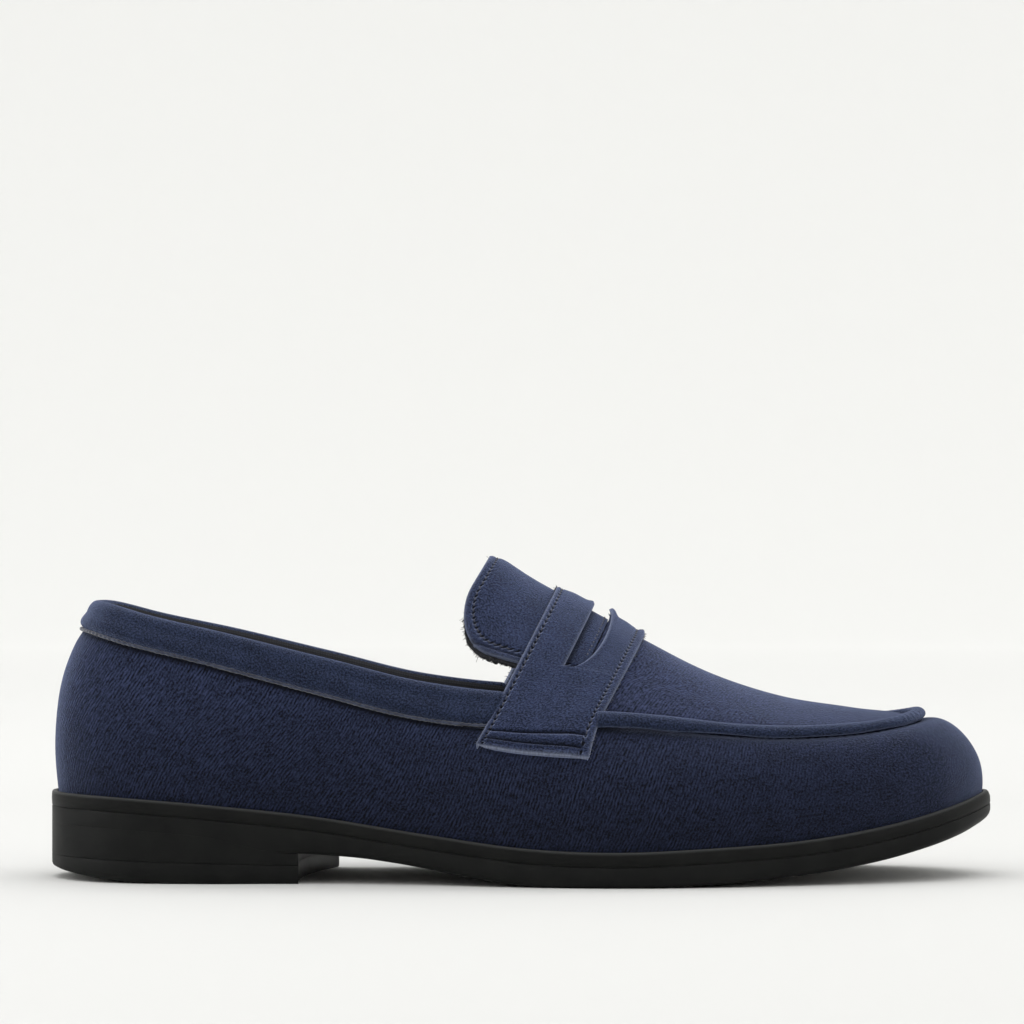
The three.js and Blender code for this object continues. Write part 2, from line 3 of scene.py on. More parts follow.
import bmesh
import bpy
import numpy as np
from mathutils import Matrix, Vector


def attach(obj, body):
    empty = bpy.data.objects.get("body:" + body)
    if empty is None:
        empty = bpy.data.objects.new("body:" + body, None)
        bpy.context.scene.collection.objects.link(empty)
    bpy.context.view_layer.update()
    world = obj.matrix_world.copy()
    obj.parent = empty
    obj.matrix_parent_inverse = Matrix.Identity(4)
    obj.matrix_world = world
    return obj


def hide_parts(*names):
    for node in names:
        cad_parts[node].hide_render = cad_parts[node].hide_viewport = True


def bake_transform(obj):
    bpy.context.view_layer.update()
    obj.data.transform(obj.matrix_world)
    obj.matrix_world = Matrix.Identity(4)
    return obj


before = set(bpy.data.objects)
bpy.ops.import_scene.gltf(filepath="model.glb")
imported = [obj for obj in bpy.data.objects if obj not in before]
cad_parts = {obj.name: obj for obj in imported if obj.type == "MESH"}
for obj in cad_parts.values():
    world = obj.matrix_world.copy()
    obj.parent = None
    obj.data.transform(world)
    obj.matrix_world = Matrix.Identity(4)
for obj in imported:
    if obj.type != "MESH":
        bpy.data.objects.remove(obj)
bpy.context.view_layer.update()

# ---- Studio ----
# A pale sweep that runs up into a wall all round, so that it has no corner in any view. One broad soft light hangs
# over the shoe, and two upright ones stand past its heel and its toe and edge them with light.

CAMERA_BACK = 1.4  # in front of the shoe's outer side
CAMERA_HEIGHT = 0.115
bpy.ops.object.camera_add(location=(-0.003, -CAMERA_BACK, CAMERA_HEIGHT), rotation=(math.radians(90), 0, 0))
camera = bpy.context.object
camera.data.lens = 155.4
bpy.context.scene.camera = camera


def select_only(*objects):
    bpy.ops.object.select_all(action="DESELECT")
    for each in objects:
        each.select_set(True)
    bpy.context.view_layer.objects.active = objects[0]


def linear(hex_colour):
    """An sRGB hex colour as linear red, green, blue and alpha."""
    parts = [int(hex_colour[i : i + 2], 16) / 255 for i in (0, 2, 4)]
    return [c / 12.92 if c <= 0.04045 else ((c + 0.055) / 1.055) ** 2.4 for c in parts] + [1]


def wire(node, links):
    """Joins sockets of other nodes, or their first ones, to a node's own."""
    for key, source in links.items():
        source = source if isinstance(source, bpy.types.NodeSocket) else source.outputs[0]
        node.id_data.links.new(source, node.inputs[key])


def add_node(material, kind, settings=None, links=None):
    """A node with its settings by socket or property, a ramp's stops, and links from sockets of other nodes."""
    node = material.node_tree.nodes.new("ShaderNode" + kind)
    for key, value in (settings or {}).items():
        if key == "stops":
            for stop, (position, colour) in zip(node.color_ramp.elements, value):
                stop.position, stop.color = position, linear(colour)
        elif isinstance(key, int) or key in node.inputs:
            node.inputs[key].default_value = value
        else:
            setattr(node, key, value)
    wire(node, links or {})
    return node


def new_material(name, finish):
    """A material and its shader, with the values that are the same all over the surface."""
    material = bpy.data.materials.new(name)
    material.use_nodes = True
    shader = material.node_tree.nodes["Principled BSDF"]
    for key, value in finish.items():
        shader.inputs[key].default_value = value
    return material, shader


bpy.ops.object.select_all(action="DESELECT")
bpy.ops.mesh.primitive_circle_add(vertices=96, radius=5, fill_type="NGON")
sweep = bpy.context.object
sweep.name = "studio_sweep"
bpy.ops.object.mode_set(mode="EDIT")
bpy.ops.mesh.select_all(action="SELECT")
bpy.ops.mesh.extrude_region_move(TRANSFORM_OT_translate={"value": (0, 0, -0.0001)})
bpy.ops.mesh.select_all(action="DESELECT")
bpy.ops.object.mode_set(mode="OBJECT")
sweep_mesh = bmesh.new()
sweep_mesh.from_mesh(sweep.data)
for vertex in sweep_mesh.verts:
    if vertex.co.z > -0.00005:
        vertex.co.z = 4
top = [face for face in sweep_mesh.faces if all(v.co.z > 3 for v in face.verts)]
bmesh.ops.delete(sweep_mesh, geom=top, context="FACES_ONLY")
rim = [e for e in sweep_mesh.edges if all(v.co.z < 0 for v in e.verts)]
bmesh.ops.bevel(sweep_mesh, geom=rim, offset=2.5, segments=16, affect="EDGES", profile=0.5)
for vertex in sweep_mesh.verts:
    vertex.co.z += 0.0001
for face in sweep_mesh.faces:
    face.normal_flip()
sweep_mesh.to_mesh(sweep.data)
sweep_mesh.free()
bpy.ops.object.shade_smooth()
paper, paper_shader = new_material("matt_white_paper", {"Roughness": 0.9})
# The paper is painted greyer in the middle, a painted shade that evens out the pool of the overhead light, so that
# floor and wall look alike.
where = add_node(paper, "TexCoord")
from_middle = add_node(paper, "VectorMath", {"operation": "LENGTH"}, {0: where.outputs["Object"]})
painted_shade_fade = add_node(paper, "MapRange", {"From Min": 0.4, "From Max": 2.4}, {"Value": from_middle.outputs["Value"]})
tone = add_node(paper, "ValToRGB", {"stops": [(0, "cdcdcb"), (1, "f7f7f5")]}, {"Fac": painted_shade_fade})
wire(paper_shader, {"Base Color": tone})
sweep.data.materials.append(paper)


def softbox(name, place, towards, size, watts):
    bpy.ops.object.light_add(type="AREA", location=place)
    light = bpy.context.object
    light.name = name
    light.data.shape = "RECTANGLE"
    light.data.size, light.data.size_y = size
    light.data.energy = watts
    light.rotation_euler = (Vector(towards) - Vector(place)).to_track_quat("-Z", "Y").to_euler()


softbox("overhead", (0.0, 0.15, 1.5), (0.0, 0.0, 0.0), (2.0, 1.4), 15)
softbox("heel_side", (-1.5, -0.35, 0.75), (-0.1, 0.0, 0.05), (0.7, 1.0), 6)
softbox("toe_side", (1.5, -0.2, 0.75), (0.1, 0.0, 0.05), (0.7, 1.0), 1.5)
world = bpy.data.worlds.new("even_white")
bpy.context.scene.world = world
world.use_nodes = True
world.node_tree.nodes["Background"].inputs["Color"].default_value = linear("ffffff")
world.node_tree.nodes["Background"].inputs["Strength"].default_value = 1.03
bpy.context.scene.view_settings.view_transform = "Standard"

# ---- Outsole ----
# One moulding of black rubber, flat under the ball, arched at the waist and turned up at the toe, with a rounded
# edge. Its outline is the last's, in stations from the middle of the heel (0) to the tip of the toe (12).

MM = 0.001
EDGE_STATIONS = [  # x, lateral y, medial y and z of the sole's top edge
    (-148.5, 0, 0, 27.2),
    (-143, -17.5, 17.5, 27.1),
    (-127, -30.5, 31, 26.6),
    (-100, -34.7, 34.7, 24.6),
    (-65, -34.2, 33.4, 20.9),
    (-30, -40, 34.8, 15.7),
    (0, -47.8, 43.2, 12),
    (28, -51.5, 49.8, 10.9),
    (58, -49, 51.5, 12),
    (88, -41, 47.4, 14),
    (115, -31, 40.5, 18.2),
    (136.5, -17, 29, 23.5),
    (148.5, 6, 6, 27.3),
]
TREAD = [  # x and z of the under side
    (-69, 9.4),
    (-50, 8.2),
    (-34, 6),
    (-20, 3.2),
    (-6, 1),
    (6, 0),
    (42, 0),
    (60, 1),
    (78, 2.3),
    (96, 4.2),
    (114, 7.3),
    (130, 11.3),
    (143, 15.4),
    (148.5, 18.6),
]
TOE = len(EDGE_STATIONS) - 1
ROUND = 2 * TOE  # side stations run round the whole shoe, with the heel at 0 and at ROUND
RAND_HEIGHT = 4.5
SEAT_THICK = 5.3
HEEL_FRONT = -69
BLEND_FROM = -100


def both_sides(stations):
    """Points up the lateral side and back down the medial one, from rows of x, lateral y, medial y and z."""
    up = [(x, y, z) for x, y, _, z in stations]
    down = [(x, y, z) for x, _, y, z in stations[-2:0:-1]]
    return np.array(up + down, float)


def through(rows, u, closed=True):
    """A Catmull-Rom curve through rows; u counts rows."""
    rows, u = np.asarray(rows, float), np.asarray(u, float)
    if rows.ndim == 1:
        rows = rows[:, None]
    n = len(rows)
    i = np.floor(u).astype(int)
    if not closed:
        i = np.clip(i, 0, n - 2)
    f = (u - i)[..., None]
    a, b, c, d = (rows[(i + k) % n] if closed else rows[np.clip(i + k, 0, n - 1)] for k in (-1, 0, 1, 2))
    return b + 0.5 * f * ((c - a) + f * ((2 * a - 5 * b + 4 * c - d) + f * (3 * b - a - 3 * c + d)))


EDGE = both_sides(EDGE_STATIONS)
EDGE_LINE = through(EDGE, np.linspace(0, TOE, 241))


def edge_height(x):
    return np.interp(x, EDGE_LINE[:, 0], EDGE_LINE[:, 2])


def tread_height(x):
    xs, zs = zip(*TREAD)
    smooth = [np.interp(x + shift, xs, zs) for shift in np.linspace(-5, 5, 5)]
    flat = (x > 4) & (x < 44)
    return np.where(flat, np.interp(x, xs, zs), np.mean(smooth, axis=0))


def unit(vectors):
    return vectors / np.linalg.norm(vectors, axis=-1, keepdims=True)


def edge_at(u, inset=0.0):
    """Points on the sole's edge, moved in by inset, and the outward directions there."""
    p = through(EDGE, u)
    along = through(EDGE, np.asarray(u) + 0.01) - through(EDGE, np.asarray(u) - 0.01)
    out = unit(np.stack([along[..., 1], -along[..., 0], 0 * along[..., 0]], -1))
    p = p - out * np.asarray(inset)[..., None]
    p[..., 2] = edge_height(p[..., 0])
    return p, out


def smoothstep(x, low, high):
    f = np.clip((np.asarray(x, float) - low) / (high - low), 0, 1)
    return f * f * (3 - 2 * f)


def smooth_piece(name, points, faces):
    """A smooth mesh of points in mm."""
    mesh = bpy.data.meshes.new(name)
    mesh.from_pydata((points.reshape(-1, 3) * MM).tolist(), [], faces)
    piece = bpy.data.objects.new(name, mesh)
    bpy.context.collection.objects.link(piece)
    select_only(piece)
    bpy.ops.object.shade_smooth()
    return piece


def grid_piece(name, points, closed_rows=False, closed_columns=False):
    """A smooth mesh through a grid of points in mm, with a UV map in metres along its rows and columns."""
    rows, columns = points.shape[:2]
    along = np.linalg.norm(np.roll(points, -1, 0) - points, axis=2).mean(1)
    across = np.linalg.norm(np.roll(points, -1, 1) - points, axis=2).mean(0)
    us = np.concatenate([[0], np.cumsum(along)]) * MM
    vs = np.concatenate([[0], np.cumsum(across)]) * MM
    i, j = np.meshgrid(
        np.arange(rows if closed_rows else rows - 1),
        np.arange(columns if closed_columns else columns - 1),
        indexing="ij",
    )
    i, j = i.ravel(), j.ravel()
    corners = [(i, j), (i + 1, j), (i + 1, j + 1), (i, j + 1)]
    faces = np.stack([(a % rows) * columns + b % columns for a, b in corners], 1)
    piece = smooth_piece(name, points, faces.tolist())
    layer = piece.data.uv_layers.new(name="UVMap")
    uv = np.stack([np.stack([us[a], vs[b]], 1) for a, b in corners], 1)
    layer.data.foreach_set("uv", uv.ravel())
    return piece


def mend(piece, merge=0.00001, close=False, outwards=True):
    """Merges doubles and drops what collapsed, fills open ends, and turns the faces out."""
    bm = bmesh.new()
    bm.from_mesh(piece.data)
    if merge:
        bmesh.ops.remove_doubles(bm, verts=bm.verts, dist=merge)
        bmesh.ops.dissolve_degenerate(bm, edges=bm.edges, dist=merge)
    if close:
        bmesh.ops.holes_fill(bm, edges=[e for e in bm.edges if e.is_boundary])
    if outwards:
        bmesh.ops.recalc_face_normals(bm, faces=bm.faces)
    bm.to_mesh(piece.data)
    bm.free()


def apply_modifier(piece, kind, **settings):
    select_only(piece)
    modifier = piece.modifiers.new(kind, kind)
    for key, value in settings.items():
        setattr(modifier, key, value)
    bpy.ops.object.modifier_apply(modifier=modifier.name)


def sole_layer(name, corners, first=0.0, last=float(TOE), count=180):
    """A level slice of the shoe's plan. Each corner is an inset, or a function of x for it, and a function of x and
    the edge's height, from the bottom round the edge to the top."""
    ts = np.linspace(first, last, count)
    ring = []
    for side in (ts, ROUND - ts):
        line = []
        for inset, height in corners:
            x = through(EDGE, side)[:, 0]
            p, _ = edge_at(side, inset(x) if callable(inset) else inset)
            p[:, 2] = height(p[:, 0], p[:, 2])
            line.append(p)
        ring.append(line)
    points = np.stack(ring[0][::-1] + ring[1], 1)
    piece = grid_piece(name, points, closed_columns=True)
    mend(piece, close=True)
    return piece


def sole_under(x, edge):
    seat = edge - RAND_HEIGHT - SEAT_THICK
    f = smoothstep(x, BLEND_FROM, HEEL_FRONT)
    return seat * (1 - f) + tread_height(x) * f


def at_toe(x):
    """How much of the toe's rounder edge a place has."""
    return smoothstep(x, 70, 142)


def roll_inset(part):
    return lambda x: part * (1.3 + 2.1 * at_toe(x)) - 0.55 * at_toe(x)


def rolled(part):
    """Height of a point on the outsole's rounded lower edge; the roll fades out where the heel is joined on."""
    return lambda x, edge: sole_under(x, edge) + part * (1.3 + 1.7 * at_toe(x)) * smoothstep(x, -77, -59)


def over_seat(height):
    return lambda x, edge: edge - RAND_HEIGHT + height


outsole = sole_layer(
    "outsole_moulding",
    [
        (roll_inset(1), rolled(0)),
        (roll_inset(0.6), rolled(0.1)),
        (roll_inset(0.3), rolled(0.3)),
        (roll_inset(0.1), rolled(0.55)),
        (roll_inset(0), rolled(0.9)),
        (roll_inset(0), over_seat(-0.3)),
        (lambda x: roll_inset(0)(x) + 0.15, over_seat(-0.1)),
        (3, over_seat(-0.1)),
    ],
)

# Its tread: shallow grooves moulded across the ball and the toe, which stop short of the edge.
GROOVE_WIDTH = 1.4
GROOVE_DEPTH = 0.9
GROOVE_PITCH = 6.5
cutters = []
for k in range(18):
    x = 8 + k * GROOVE_PITCH
    near = np.argmin(np.abs(EDGE_LINE[:, 0] - x))
    station = near * TOE / 240
    left, _ = edge_at(station, 8)
    right, _ = edge_at(ROUND - station, 8)
    slope = math.atan2(tread_height(x + 2) - tread_height(x - 2), 4)
    bpy.ops.object.select_all(action="DESELECT")
    bpy.ops.mesh.primitive_cube_add(
        size=1,
        location=(x * MM, (left[1] + right[1]) / 2 * MM, float(tread_height(x)) * MM),
        rotation=(0, -slope, 0),
        scale=(GROOVE_WIDTH * MM, (right[1] - left[1]) * MM, 2 * GROOVE_DEPTH * MM),
    )
    cutters.append(bpy.context.object)
select_only(*cutters)
bpy.ops.object.join()
groove_cutter = bpy.context.object
apply_modifier(outsole, "BOOLEAN", operation="DIFFERENCE", object=groove_cutter, solver="EXACT")
bpy.data.objects.remove(groove_cutter)
select_only(outsole)
bpy.ops.object.shade_smooth_by_angle(angle=math.radians(40))

# Moulded rubber: near black, with the dull gloss of the mould and the faint cloudiness of handled rubber.
rubber, rubber_shader = new_material("moulded_black_rubber", {"Roughness": 0.5, "IOR": 1.5, "Specular IOR Level": 0.12})
place = add_node(rubber, "TexCoord")
cloud = add_node(rubber, "TexNoise", {"Scale": 90, "Detail": 5, "Roughness": 0.6}, {"Vector": place.outputs["Object"]})
pits = add_node(rubber, "TexNoise", {"Scale": 2200, "Detail": 2, "Roughness": 0.5}, {"Vector": place.outputs["Object"]})
tone = add_node(rubber, "ValToRGB", {"stops": [(0.35, "0a0b0b"), (0.7, "131413")]}, {"Fac": cloud})
gloss = add_node(rubber, "MapRange", {"To Min": 0.42, "To Max": 0.6}, {"Value": cloud})
skin = add_node(rubber, "Bump", {"Strength": 0.25, "Distance": 0.0002}, {"Height": pits})
# Where a piece is marked, the rubber is painted paler: partly rubbed wear, partly a painted highlight.
wear_and_highlight_fac = add_node(rubber, "Attribute", {"attribute_name": "wear_and_highlight"})
pale = add_node(rubber, "Mix", {"data_type": "RGBA", 7: linear("3c3d3d")}, {"Factor": wear_and_highlight_fac.outputs["Fac"], 6: tone})
wire(rubber_shader, {"Base Color": pale.outputs[2], "Roughness": gloss, "Normal": skin})


def place_piece(piece, material, slot, *nodes, body="shoe"):
    """Gives a finished piece its material, the CAD nodes that it stands for, and its body."""
    piece.data.materials.clear()
    piece.data.materials.append(material)
    if nodes:
        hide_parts(*nodes)
    if body:
        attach(piece, body)


place_piece(outsole, rubber, "moulded_rubber", "outsole")

# ---- Rand ----
# A rubber strip cemented on top of the outsole all round, in the place of a welt. Its upper edge is rubbed round,
# and a fine line shows where it meets the outsole.

RAND_THICK = 1.7
us = np.linspace(0, ROUND, 420, endpoint=False)
section = []
for inset, at_tip, drop in [
    (RAND_THICK, 0, RAND_HEIGHT),
    (0.15, -0.55, RAND_HEIGHT),
    (0.0, -0.55, RAND_HEIGHT - 0.2),
    (-0.1, -0.4, 2.4),
    (-0.05, 0.1, 1.0),
    (0.05, 0.5, 0.35),
    (0.25, 0.85, 0.06),
    (0.5, 0.9, 0),
    (RAND_THICK, 0, 0),
]:
    p, _ = edge_at(us, inset + at_tip * at_toe(through(EDGE, us)[:, 0]))
    p[:, 2] -= drop
    section.append(p)
rand = grid_piece("rand_strip", np.stack(section, 1), closed_rows=True, closed_columns=True)
# A pale line along the rand's top outer edge: partly rubbed wear, partly a painted highlight on its rounding.
wear_and_highlight = rand.data.attributes.new("wear_and_highlight", "FLOAT", "POINT")
wear_and_highlight.data.foreach_set("value", np.tile([0, 0, 0, 0, 0, 0.5, 1, 0.5, 0], len(us)))
mend(rand, merge=None, close=True)
bpy.ops.object.shade_smooth_by_angle(angle=math.radians(50))
place_piece(rand, rubber, "moulded_rubber", "rand")

# ---- Heel ----
# A rubber block under the seat, cut hollow at the breast and longer on the inner side, with a thin top piece as
# its wearing layer. Both are trimmed flush with the outsole, and the top piece is bevelled up at the back.

TOP_PIECE = 5.6
TOP_PIECE_RISE = 2
BREAST_WING = 10
BREAST_HOLLOW = 4
BEVEL_FROM = -108
BEVEL_RISE = 3.8
HEEL_LAST_STATION = 4.7


def top_piece_top(x, edge=0):
    return TOP_PIECE + TOP_PIECE_RISE * np.clip((HEEL_FRONT - x) / 80, -0.1, 1)


def heel_floor(x, edge=0):
    back = np.clip((BEVEL_FROM - x) / (BEVEL_FROM - EDGE_STATIONS[0][0]), 0, None)
    return BEVEL_RISE * back**2


heel_block = sole_layer(
    "heel_lift",
    [
        (4, lambda x, edge: top_piece_top(x) + 0.02),
        (0.12, lambda x, edge: top_piece_top(x) + 0.02),
        (0, lambda x, edge: top_piece_top(x) + 0.15),
        (0, lambda x, edge: sole_under(x, edge) - 0.02),
        (4, lambda x, edge: sole_under(x, edge) - 0.02),
    ],
    last=HEEL_LAST_STATION,
    count=90,
)
heel_top_piece = sole_layer(
    "heel_wearing_layer",
    [
        (0.9, heel_floor),
        (0.25, lambda x, edge: heel_floor(x) + 0.25),
        (0, lambda x, edge: heel_floor(x) + 0.9),
        (0, lambda x, edge: top_piece_top(x) - 0.18),
        (0.12, lambda x, edge: top_piece_top(x) - 0.03),
        (4, lambda x, edge: top_piece_top(x) - 0.03),
    ],
    last=HEEL_LAST_STATION,
    count=90,
)
corner_a = Vector((HEEL_FRONT, EDGE_STATIONS[4][1]))
corner_b = Vector((HEEL_FRONT + BREAST_WING, EDGE_STATIONS[4][2]))
chord = corner_b - corner_a
breast_radius = chord.length**2 / (8 * BREAST_HOLLOW) + BREAST_HOLLOW / 2
forward = Vector((chord.y, -chord.x)).normalized()
centre = (corner_a + corner_b) / 2 + forward * (breast_radius - BREAST_HOLLOW)
bpy.ops.object.select_all(action="DESELECT")
bpy.ops.mesh.primitive_cylinder_add(
    vertices=720, radius=breast_radius * MM, depth=0.08, location=(centre.x * MM, centre.y * MM, 0)
)
breast = bpy.context.object
for piece, node in ((heel_block, "heel_block"), (heel_top_piece, "heel_top_piece")):
    apply_modifier(piece, "BOOLEAN", operation="DIFFERENCE", object=breast, solver="EXACT")
    apply_modifier(piece, "BEVEL", width=0.0003, segments=2, limit_method="ANGLE", angle_limit=math.radians(60))
    bpy.ops.object.shade_smooth_by_angle(angle=math.radians(40))
    place_piece(piece, rubber, "moulded_rubber", node)
bpy.data.objects.remove(breast)

# ---- Upper: the shape of the last ----
# The upper is pulled over a last, so wall, apron, tongue and strap all follow its surface: a wall from the sole's
# edge up to a rail, and an arched instep from rail to rail over the crown.

RAIL_STATIONS = [  # x, lateral y, medial y and z of the wall's top, its lean in degrees and the collar's rake
    (-139, 0, 0, 78, 20, 0),
    (-134.3, -14.5, 14.5, 77, 19, 0),
    (-120.5, -24.5, 24.5, 73.3, 15, 0),
    (-94, -31, 30.5, 67, 11, 0.02),
    (-61, -35.5, 34, 58.4, 9, 0.08),
    (-33, -39.5, 37.5, 51.6, 13, 0.25),
    (-5, -42, 41, 49, 27, 0.45),
    (24, -40.3, 41, 50.4, 41, 0.45),
    (52, -37, 39.5, 48.2, 51, 0),
    (78, -32, 36, 46.4, 58, 0),
    (101.5, -24, 30, 46.9, 63, 0),
    (119, -12, 20, 48.6, 70, 0),
    (126.5, 4, 4, 49.4, 74, 0),
]
CROWN_FROM = 3
CROWN = [
    (-43, 1, 124),
    (-24, 1.5, 111.5),
    (-5.3, 2, 99.3),
    (14.8, 2.5, 87.6),
    (38.3, 3, 74.9),
    (61, 3.5, 63.4),
    (83.5, 4, 56.4),
    (104, 4, 53.2),
    (118.8, 4, 51.4),
    (126.5, 4, 49.4),
]
RAIL = both_sides([row[:4] for row in RAIL_STATIONS])
LEAN = np.radians([row[4] for row in RAIL_STATIONS + RAIL_STATIONS[-2:0:-1]])
RAKE = np.array([row[5] for row in RAIL_STATIONS + RAIL_STATIONS[-2:0:-1]], float)
WALL_INSET = RAND_THICK + 0.3


def rail_at(u):
    return through(RAIL, u)


def wall_face(u, v):
    """The wall's outer face, a Bezier curve from its foot (v = 0) to the rail (v = 1)."""
    foot, out = edge_at(u, WALL_INSET)
    top = rail_at(u)
    lean = through(LEAN, u)
    long = np.linalg.norm(top - foot, axis=-1, keepdims=True)
    up = np.array([0, 0, 1.0])
    low = foot + 0.45 * long * (0.12 * out + up)
    high = top + 0.4 * long * (out * np.sin(lean) - up * np.cos(lean))
    v = np.asarray(v)[..., None]
    return (1 - v) ** 3 * foot + 3 * (1 - v) ** 2 * v * low + 3 * (1 - v) * v**2 * high + v**3 * top


def instep_face(t, b):
    """The instep's outer face, an arch from the lateral rail (b = -1) over the crown to the medial rail (b = 1)."""
    left, right = rail_at(t), rail_at(ROUND - np.asarray(t))
    crown = through(CROWN, np.asarray(t) - CROWN_FROM, closed=False)
    b = np.asarray(b)[..., None]
    middle = (left + right) / 2
    return middle + (right - left) * b / 2 + (crown - middle) * (1 - b * b)


def above(face, a, b, height, a_range=(-99, 99), b_range=(-1, 1)):
    """Points at a height over a face, along its normal, and the normals."""
    a, b = np.broadcast_arrays(np.asarray(a, float), np.asarray(b, float))
    a0, a1 = np.clip(a - 0.01, *a_range), np.clip(a + 0.01, *a_range)
    b0, b1 = np.clip(b - 0.01, *b_range), np.clip(b + 0.01, *b_range)
    normal = np.cross(face(a1, b) - face(a0, b), face(a, b1) - face(a, b0))
    normal /= np.linalg.norm(normal, axis=-1, keepdims=True) + 1e-12
    height = np.broadcast_to(np.asarray(height, float), a.shape)[..., None]
    return face(a, b) + normal * height, normal


def wall(u, v, depth=0.0):
    return above(wall_face, u, v, -np.asarray(depth), b_range=(0, 1))


def instep(t, b, height=0.0):
    return above(instep_face, t, b, height, a_range=(0, TOE - 0.05))


# ---- Suede ----
# Calf split dyed navy and brushed: the nap scatters light, so it has a soft sheen and no gloss, and lies light and
# dark in patches where it was stroked. On the wall and apron the brushing follows a fine diagonal twill line.

NAP_PATCH = 8.0  # mm, and so are the next four, drawn coarser than real nap so that they show
NAP_FLECK = 0.62
TWILL_PITCH = 0.95
STROKE_WIDE, STROKE_LONG = 0.66, 2.6
TWILL_LEAN = 27  # degrees from upright
SEAM_PITCH = 2.1  # mm, for the stitch holes


def suede(name, dark, light, twill=0.0, lean=0.0, stitched=False, sheen=0.8, grain=NAP_FLECK):
    """Brushed suede between two colours, with broken twill lines or with the marks of a seam where it has them."""
    material, shader = new_material(
        name,
        {
            "Roughness": 0.95,
            "Specular IOR Level": 0.12,
            "Sheen Weight": sheen,
            "Sheen Roughness": 0.35,
            "Sheen Tint": linear("a6b4de"),
        },
    )
    coordinates = add_node(material, "TexCoord")
    uv = coordinates.outputs["UV"]
    patch = add_node(
        material, "TexNoise", {"Scale": 1 / (NAP_PATCH * MM), "Detail": 5, "Roughness": 0.6}, {"Vector": uv}
    )
    fleck = add_node(material, "TexNoise", {"Scale": 1 / (grain * MM), "Detail": 3, "Roughness": 0.8}, {"Vector": uv})
    height = add_node(material, "Mix", {"data_type": "FLOAT", "Factor": 0.84}, {"A": patch, "B": fleck})
    split = add_node(material, "SeparateXYZ", links={"Vector": coordinates.outputs["Object"]})
    if twill:
        # The lines are broken strokes, clearer where the nap is brushed flat, and hidden by it towards the toe.
        turned = add_node(material, "Mapping", {"Rotation": (0, 0, math.radians(lean))}, {"Vector": uv})
        stretch = (1 / (STROKE_WIDE * MM), 1 / (STROKE_LONG * MM), 1)
        stretched = add_node(material, "Mapping", {"Scale": stretch}, {"Vector": turned})
        strokes = add_node(material, "TexNoise", {"Scale": 1, "Detail": 3, "Roughness": 0.7}, {"Vector": stretched})
        lines = add_node(
            material,
            "TexWave",
            {
                "Scale": math.pi / (10 * TWILL_PITCH * MM),
                "Distortion": 4.0,
                "Detail": 3,
                "Detail Scale": 1.1,
                "Detail Roughness": 0.65,
            },
            {"Vector": turned},
        )
        woven = add_node(
            material, "Mix", {"data_type": "FLOAT", "Factor": 0.17}, {"A": strokes, "B": lines.outputs["Fac"]}
        )
        fade = add_node(
            material,
            "MapRange",
            {"From Min": 0.04, "From Max": 0.12, "To Min": twill, "To Max": 0.1 * twill},
            {"Value": split.outputs["X"]},
        )
        flat = add_node(
            material, "MapRange", {"From Min": 0.38, "From Max": 0.6, "To Min": 0.45, "To Max": 1.0}, {"Value": patch}
        )
        shown = add_node(material, "Math", {"operation": "MULTIPLY"}, {0: fade, 1: flat})
        height = add_node(material, "Mix", {"data_type": "FLOAT"}, {"Factor": shown, "A": height, "B": woven})
    colour = add_node(material, "ValToRGB", {"stops": [(0.41, dark), (0.6, light)]}, {"Fac": height})
    # Painted shade: the colour is darkened where a piece is marked, along seams, grooves and edges where shade falls.
    painted_shade = add_node(material, "Attribute", {"attribute_name": "painted_shade"})
    shade_strength = add_node(material, "Math", {"operation": "MULTIPLY", 1: 0.85}, {0: painted_shade.outputs["Fac"]})
    shaded = add_node(material, "Mix", {"data_type": "RGBA", 7: linear("05060b")}, {"Factor": shade_strength, 6: colour})
    colour = shaded.outputs[2]
    if twill:
        # Painted shade: the colour is darkened towards the sole, for the shade low on the wall.
        painted_low_shade = add_node(
            material,
            "MapRange",
            {"From Min": 0.018, "From Max": 0.062, "To Min": 0.5, "To Max": 1.0},
            {"Value": split.outputs["Z"]},
        )
        low_shaded = add_node(
            material, "Mix", {"data_type": "RGBA", "blend_type": "MULTIPLY", "Factor": 1.0}, {6: colour, 7: painted_low_shade}
        )
        colour = low_shaded.outputs[2]
    if stitched:
        # Cut edges are rubbed pale, and every stitch ends in a hole whose shade is painted dark.
        wear_and_highlight = add_node(material, "Attribute", {"attribute_name": "wear_and_highlight"})
        patchy = add_node(material, "Math", {"operation": "MULTIPLY"}, {0: wear_and_highlight.outputs["Fac"], 1: fleck})
        pale = add_node(material, "Mix", {"data_type": "RGBA", 7: linear("9aa2b8")}, {"Factor": patchy, 6: colour})
        away = add_node(material, "Attribute", {"attribute_name": "seam_away"})
        run = add_node(material, "Attribute", {"attribute_name": "seam_run"})
        step = add_node(material, "Math", {"operation": "FRACT"}, {0: run.outputs["Fac"]})
        from_hole = add_node(
            material, "Math", {"operation": "MULTIPLY_ADD", 1: SEAM_PITCH, 2: -SEAM_PITCH / 2}, {0: step}
        )
        offset = add_node(material, "CombineXYZ", links={"X": away.outputs["Fac"], "Y": from_hole})
        distance = add_node(material, "VectorMath", {"operation": "LENGTH"}, {0: offset})
        hole_shade = add_node(
            material,
            "MapRange",
            {"From Min": 0.38, "From Max": 0.75, "To Min": 1.0, "To Max": 0.0},
            {"Value": distance.outputs["Value"]},
        )
        hole_shaded = add_node(
            material, "Mix", {"data_type": "RGBA", 7: linear("05060a")}, {"Factor": hole_shade, 6: pale.outputs[2]}
        )
        sunk = add_node(material, "Math", {"operation": "SUBTRACT"}, {0: height, 1: hole_shade})
        height, colour = sunk, hole_shaded.outputs[2]
    bump = add_node(material, "Bump", {"Strength": 0.9, "Distance": 0.0006}, {"Height": height})
    wire(shader, {"Base Color": colour, "Normal": bump})
    return material


